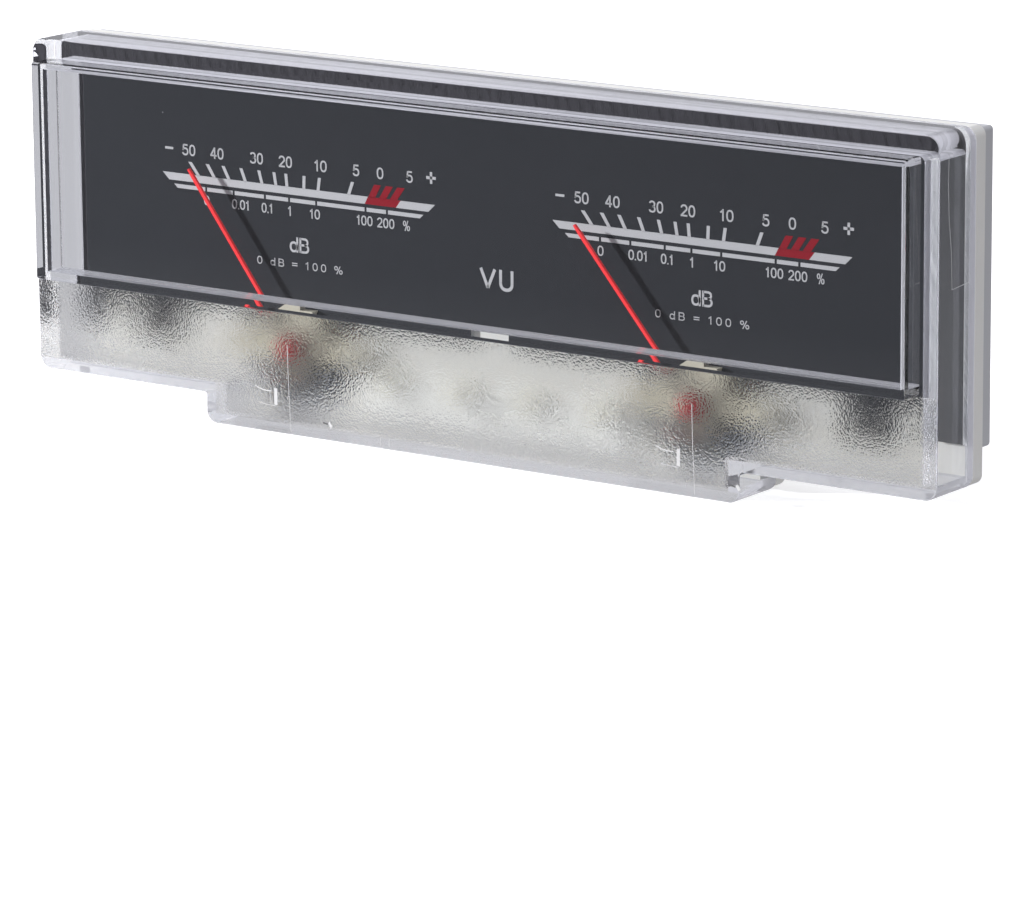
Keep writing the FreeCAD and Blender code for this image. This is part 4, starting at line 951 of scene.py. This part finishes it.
@dataclass
class DialPrint:
    """One side's printed scale on the dial plate's front. X counts from the pointer's axis.

    Heights are millimetres above the cover's lower edge, and angles are degrees from upright at the axis. A
    row has a height and a size, and each number in it its text, its X and its width.
    """

    side: Side
    ground: float = 3.8
    face: float = 0.5
    ink: float = 0.018
    axis_height: float = 5.9
    band: Point = (24.9, 25.85)
    tick_top: float = 27.45
    tick_root: float = 0.05
    thin_band: Point = (23.95, 24.45)
    band_ends: Point = (-47.3, 46.5)
    red_ends: Point = (28.4, 38.4)
    thin_gaps: Row = (-38.7, -29.3, -16.2, -4.7, 8.5, 29.6, 36.8)
    gap: float = 0.33
    thin_inset: float = 0.3
    strip_steps: int = 9
    ticks: Row = (-38.55, -33.8, -28.9, -22.8, -16.1, -10.1, -5.2, 2.4, 8.7, 21.4)
    tick_width: float = 0.45
    teeth: Row = (29.7, 33.2, 36.4)
    tooth_width: float = 0.9
    minus: Row = (-20.51, 28.95, 1.3, 0.3)
    plus: Row = (20.48, 29.15, 1.44, 0.36)
    upper_row: Point = (28.95, 1.45)
    upper: tuple[tuple[str, float, float], ...] = (
        ("50", -17.35, 2.1), ("40", -12.85, 2.12), ("30", -6.55, 2.05), ("20", -2.0, 2.08),
        ("10", 3.5, 1.92), ("5", 9.0, 1.0), ("0", 12.7, 1.02), ("5", 17.2, 1.0),
    )
    lower_row: Point = (22.8, 1.25)
    lower: tuple[tuple[str, float, float], ...] = (
        ("0", -14.6, 0.88), ("0.01", -9.25, 2.62), ("0.1", -5.05, 1.65), ("1", -1.5, 0.45),
        ("10", 2.5, 1.6), ("100", 10.22, 2.46), ("200", 13.48, 2.64),
    )

    units: tuple[Word, ...] = (
        Word("%", 16.65, 22.8, 1.25, 1.05, 0.11),
        Word("dB", 0.0, 18.61, 1.95, 3.04),
        Word("0 dB = 100 %", 0.0, 16.1, 1.0, 13.4, 0.13, 0.35),
    )
    middle_unit: Word = Word("VU", 0.09, 17.56, 2.65, 5.08, 0.155)

    def words(self) -> list[Word]:
        """Numbers and units of the scale."""
        numbers = [
            Word(text, across, up, height, width)
            for row, (up, height) in ((self.upper, self.upper_row), (self.lower, self.lower_row))
            for text, across, width in row
        ]
        return [*numbers, *self.units]

    def cut(self, angle: float, up: Array, upright: bool = False) -> Array:
        """X of a cut across a band at each height, in millimetres.

        It follows the line from the pointer's axis, x = X of the axis + (z - its height) * tan(angle), or
        stands upright where that line meets the band's middle.

        Args:
            angle: angle of the line, degrees from upright.
            up: heights in millimetres.
            upright: whether the cut stands upright.

        Returns:
            X at each height.
        """
        lever = up.mean() if upright else up
        return self.side.value + (lever - self.axis_height) * math.tan(math.radians(angle)) + 0.0 * up

    def front(self, across: Array, up: Array) -> Array:
        """Points on the outer face of the ink, in metres."""
        return sheet(across, up + self.ground, self.face - self.ink)

    def strip(self, left: Array, right: Array, up: Array) -> Array:
        """Front of a strip between two cuts: x = left(t) + s * (right(t) - left(t)) at height up(t)."""
        share = np.linspace(0, 1, self.strip_steps)[:, None]
        return self.front(left + share * (right - left), up + 0.0 * share)

    def tick(self, angle: float, width: float) -> Array:
        """Front of a tick that stands on the band and leans along its line from the axis.

        Args:
            angle: its lean, degrees from upright.
            width: its width, millimetres.

        Returns:
            Points of the front, in metres.
        """
        up = np.array((self.band[1] - self.tick_root, self.tick_top))
        half = width / 2 / math.cos(math.radians(angle))
        line = self.cut(angle, up)
        return self.strip(line - half, line + half, up)

    def bar(self, across: float, up: float, width: float, height: float) -> Array:
        """Front of an upright rectangle, given by its middle and size in millimetres."""
        row, column = np.meshgrid((-0.5, 0.5), (-0.5, 0.5), indexing="ij")
        return self.front(self.side.value + across + row * width, up + column * height)

    def thin_strips(self) -> list[Array]:
        """Fronts of the thin band's stretches, parted by upright gaps and set in a little at both ends."""
        up = np.array(self.thin_band)
        gaps = [self.cut(angle, up, upright=True) for angle in self.thin_gaps]
        first = self.cut(self.band_ends[0], up) + self.thin_inset
        last = self.cut(self.band_ends[1], up) - self.thin_inset
        lefts = [first, *(gap + self.gap / 2 for gap in gaps)]
        rights = [*(gap - self.gap / 2 for gap in gaps), last]
        return [self.strip(left, right, up) for left, right in zip(lefts, rights)]

    def print_fronts(self, name: str, fronts: list[Array], finish: Finishes) -> None:
        """Lay one piece of ink, with a slab under each of its fronts.

        Args:
            name: end of the piece's name.
            fronts: fronts of its parts, in metres.
            finish: its finish.
        """
        shell = Shell()
        for front in fronts:
            shell.slab(front, self.ink * MM)
        shell.piece(self.side.prefix + name, finish)

    def print_words(self, name: str, middle: float, words: list[Word]) -> None:
        """Lay one piece of pale words.

        Args:
            name: name of the piece.
            middle: X that the words are counted from, millimetres.
            words: its words.
        """
        shell = Shell()
        for word in words:
            word.lay(shell, (middle, self.ground), self.face, self.ink)
        shell.piece(name, Finishes.pale_ink)

    def build(self) -> None:
        """Lay the scale's pale and red ink."""
        up = np.array(self.band)
        start, red_start, red_end, end = (
            self.cut(angle, up) for angle in (self.band_ends[0], *self.red_ends, self.band_ends[1])
        )
        across, level, long, thick = self.plus
        pale = [
            self.strip(start, red_start, up),
            self.strip(red_end, end, up),
            *self.thin_strips(),
            *(self.tick(angle, self.tick_width) for angle in self.ticks),
            self.bar(*self.minus),
            self.bar(across, level, long, thick),
            self.bar(across, level, thick, long),
        ]
        red = [self.strip(red_start, red_end, up)]
        red += [self.tick(angle, self.tooth_width) for angle in self.teeth]
        self.print_fronts("scale_lines", pale, Finishes.pale_ink)
        self.print_fronts("scale_red", red, Finishes.red_ink)
        self.print_words(self.side.prefix + "scale_numbers", self.side.value, self.words())

    def print_unit(self) -> None:
        """Lay the unit between the two scales, with X counted from the meter's middle."""
        self.print_words("unit_letters", 0.0, [self.middle_unit])


# ---- marks of the cover


@dataclass
class CoverMarks:
    """Lines that moulding left on and in the clear cover, in millimetres in the frame of the solids."""

    face: float = -7.0
    raised: float = 0.05
    axis_height: float = 9.7
    ring: float = 4.53
    ring_ends: Point = (243.5, 277.4)
    ring_width: float = 0.14
    ring_steps: int = 15
    knock_out: Row = (-1.2, 3.5, 1.25, 5.6)
    knock_slope: float = 0.15
    stile_width: float = 0.5
    weld: tuple[Point, ...] = ((3.16, 11.3), (3.25, 7.0), (3.4, 3.5), (3.56, 0.4))
    weld_width: float = 0.07
    gate: Point = (8.9, 2.0)
    gate_pale: tuple[Point, ...] = ((0.6, 0.3), (1.0, -0.3))
    gate_dark: tuple[Point, ...] = ((-0.35, 0.15), (0.4, 0.05))
    gate_widths: Point = (0.4, 0.18)
    rib_places: Row = (-12.66, -11.35)
    rib_ends: Point = (1.35, 0.35)
    crack: tuple[Point, ...] = ((-4.9, 43.6), (-5.0, 40.5), (-4.75, 36.4), (-4.2, 32.6), (-4.0, 28.2))
    crack_end: Point = (0.2, 28.5)
    crack_depth: float = 66.94
    crack_width: float = 0.09
    crack_inward: Triple = (-0.03, 0.0, 0.0)

    def line(self, shell: Shell, points: Array, width: float) -> None:
        """Raise a line on the cover's face along points of X and Z in millimetres."""
        path = sheet(*points.T, self.face - self.raised)
        shell.ribbon(path, width * MM, np.array((0.0, self.raised, 0.0)) * MM)

    def side_marks(self, side: Side) -> None:
        """The knock-out's outline, the weld line and the gate mark in front of one movement.

        The knock-out's top is an arc about the pointer's axis: x = X of the axis + r * cos(a) and
        z = its height + r * sin(a).

        Args:
            side: side of the meter.
        """
        pale, dark = Shell(), Shell()
        turn = np.radians(np.linspace(*self.ring_ends, self.ring_steps))
        middle = np.array((side.value, self.axis_height))
        arc = middle + self.ring * np.stack([np.cos(turn), np.sin(turn)], axis=-1)
        self.line(pale, arc, self.ring_width)
        left, low, right, high = self.knock_out
        foot = np.array((side.value, 0.0))
        self.line(pale, foot + ((right, high), (right, low)), self.stile_width)
        self.line(pale, foot + ((left, low), (right, low - self.knock_slope)), self.weld_width)
        self.line(pale, foot + self.weld, self.weld_width)
        self.line(pale, foot + self.gate + self.gate_pale, self.gate_widths[0])
        self.line(dark, foot + self.gate + self.gate_dark, self.gate_widths[1])
        pale.piece(side.prefix + "moulding_marks", Finishes.flow_line)
        dark.piece(side.prefix + "gate_mark", Finishes.shade_line)

    def build(self) -> None:
        """All marks: those before each movement, two short ribs and the stress line in the right wall."""
        for side in Side:
            self.side_marks(side)
        shell = Shell()
        for across in self.rib_places:
            self.line(shell, np.array([(across, end) for end in self.rib_ends]), self.weld_width)
        for points in (self.crack, (self.crack[-1], self.crack_end)):
            flat = np.array(points)
            path = np.stack([np.full(len(flat), self.crack_depth), flat[:, 0], flat[:, 1]], axis=-1)
            shell.ribbon(path * MM, self.crack_width * MM, np.array(self.crack_inward) * MM)
        shell.piece("stress_lines", Finishes.flow_line)


# ---- solids


@dataclass
class DressedSolids:
    """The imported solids. Each takes the finish of its slot in the record."""

    def build(self) -> None:
        """Give every node its finish."""
        for name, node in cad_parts.items():
            finish = Finishes[node.data.materials[0].name]
            for slot in node.material_slots:
                slot.material = finish.material
            log.info("%s: %s", name, finish.value.name)


# ---- studio


@dataclass(frozen=True)
class Lamp:
    """A square lamp that lights matt surfaces, without glints, in metres and watts."""

    name: str
    place: Triple
    size: float
    power: float
    aim: Triple = (0.0, 0.0, 0.02)

    def build(self) -> None:
        """Stand the lamp at its place, turned towards its aim."""
        data = bpy.data.lights.new(self.name, "AREA")
        data.size = self.size
        data.energy = self.power
        made = placed(self.name, data)
        ahead = Vector(self.aim) - Vector(self.place)
        turn = ahead.to_track_quat("-Z", "Y").to_matrix().to_4x4()
        made.matrix_world = Matrix.Translation(self.place) @ turn
        made.visible_transmission = False
        made.visible_glossy = False


@dataclass
class Studio:
    """Pale floor, plain soft light and the camera. Angles are degrees."""

    camera_place: Triple = (0.4032, -0.5573, 0.1585)
    heading: float = 35.744
    tilt: float = 13.028
    roll: float = -0.441
    lens: float = 202.92
    clip: Point = (0.01, 20.0)
    floor_half: float = 3.0
    paper: Paper = Paper("floor_paper", (0.8, 0.8, 0.8), 0.9)
    left_sky: Colour = (0.6, 0.605, 0.65)
    right_sky: Colour = (0.38, 0.38, 0.41)
    front_sky: Colour = (0.26, 0.26, 0.28)
    top_sky: Colour = (0.86, 0.86, 0.92)
    rightward: Point = (-0.1, 0.6)
    backward: Point = (-0.5, 0.3)
    upward: Point = (0.05, 0.6)
    lamps: tuple[Lamp, ...] = (
        Lamp("key", (-0.88, -0.44, 0.28), 0.045, 19.0),
        Lamp("rim", (0.3, 0.7, 0.8), 0.7, 1.0),
    )

    def floor(self) -> None:
        """A wide pale sheet just under the meter."""
        corners = np.array([(-1, -1, 0), (1, -1, 0), (1, 1, 0), (-1, 1, 0)], float) * self.floor_half
        mesh = bpy.data.meshes.new("floor")
        mesh.from_pydata(corners.tolist(), [], [(0, 1, 2, 3)])
        mesh.materials.append(self.paper.material())
        placed("floor", mesh)

    def world(self) -> None:
        """Pale light from all round, a little brighter from above and duller from the front and right."""
        world = bpy.data.worlds.new("studio")
        bpy.context.scene.world = world
        world.use_nodes = True
        world.node_tree.nodes.clear()
        tree = Tree(world.node_tree)
        direction = tree.node("ShaderNodeTexCoord").outputs["Generated"]
        beside = tree.spread(tree.part(direction, "X"), *self.rightward)
        behind = tree.spread(tree.part(direction, "Y"), *self.backward)
        above = tree.spread(tree.part(direction, "Z"), *self.upward)
        round_light = tree.mix(behind, self.front_sky, tree.mix(beside, self.left_sky, self.right_sky))
        light = tree.mix(above, round_light, self.top_sky)
        seen = tree.node("ShaderNodeLightPath").outputs["Is Camera Ray"]
        background = tree.node("ShaderNodeBackground", {"Color": tree.mix(seen, light, WHITE)})
        tree.node("ShaderNodeOutputWorld", {"Surface": background.outputs[0]})

    def camera(self) -> None:
        """The camera, turned by its heading, tilt and roll."""
        data = bpy.data.cameras.new("camera")
        data.lens = self.lens
        data.clip_start, data.clip_end = self.clip
        made = placed("camera", data)
        made.matrix_world = (
            Matrix.Translation(self.camera_place)
            @ Matrix.Rotation(math.radians(self.heading), 4, "Z")
            @ Matrix.Rotation(math.radians(90 - self.tilt), 4, "X")
            @ Matrix.Rotation(math.radians(self.roll), 4, "Z")
        )
        bpy.context.scene.camera = made

    def build(self) -> None:
        """Set up floor, light and camera."""
        self.floor()
        self.world()
        for lamp in self.lamps:
            lamp.build()
        self.camera()
        bpy.context.scene.view_settings.view_transform = "Standard"


def main() -> None:
    """Build the meter's looks in order."""
    logging.basicConfig(level=logging.INFO, format="%(name)s: %(message)s")
    DressedSolids().build()
    for side in Side:
        DialPrint(side).build()
    DialPrint(Side.LEFT).print_unit()
    CoverMarks().build()
    Studio().build()


if __name__ == "__main__":
    main()
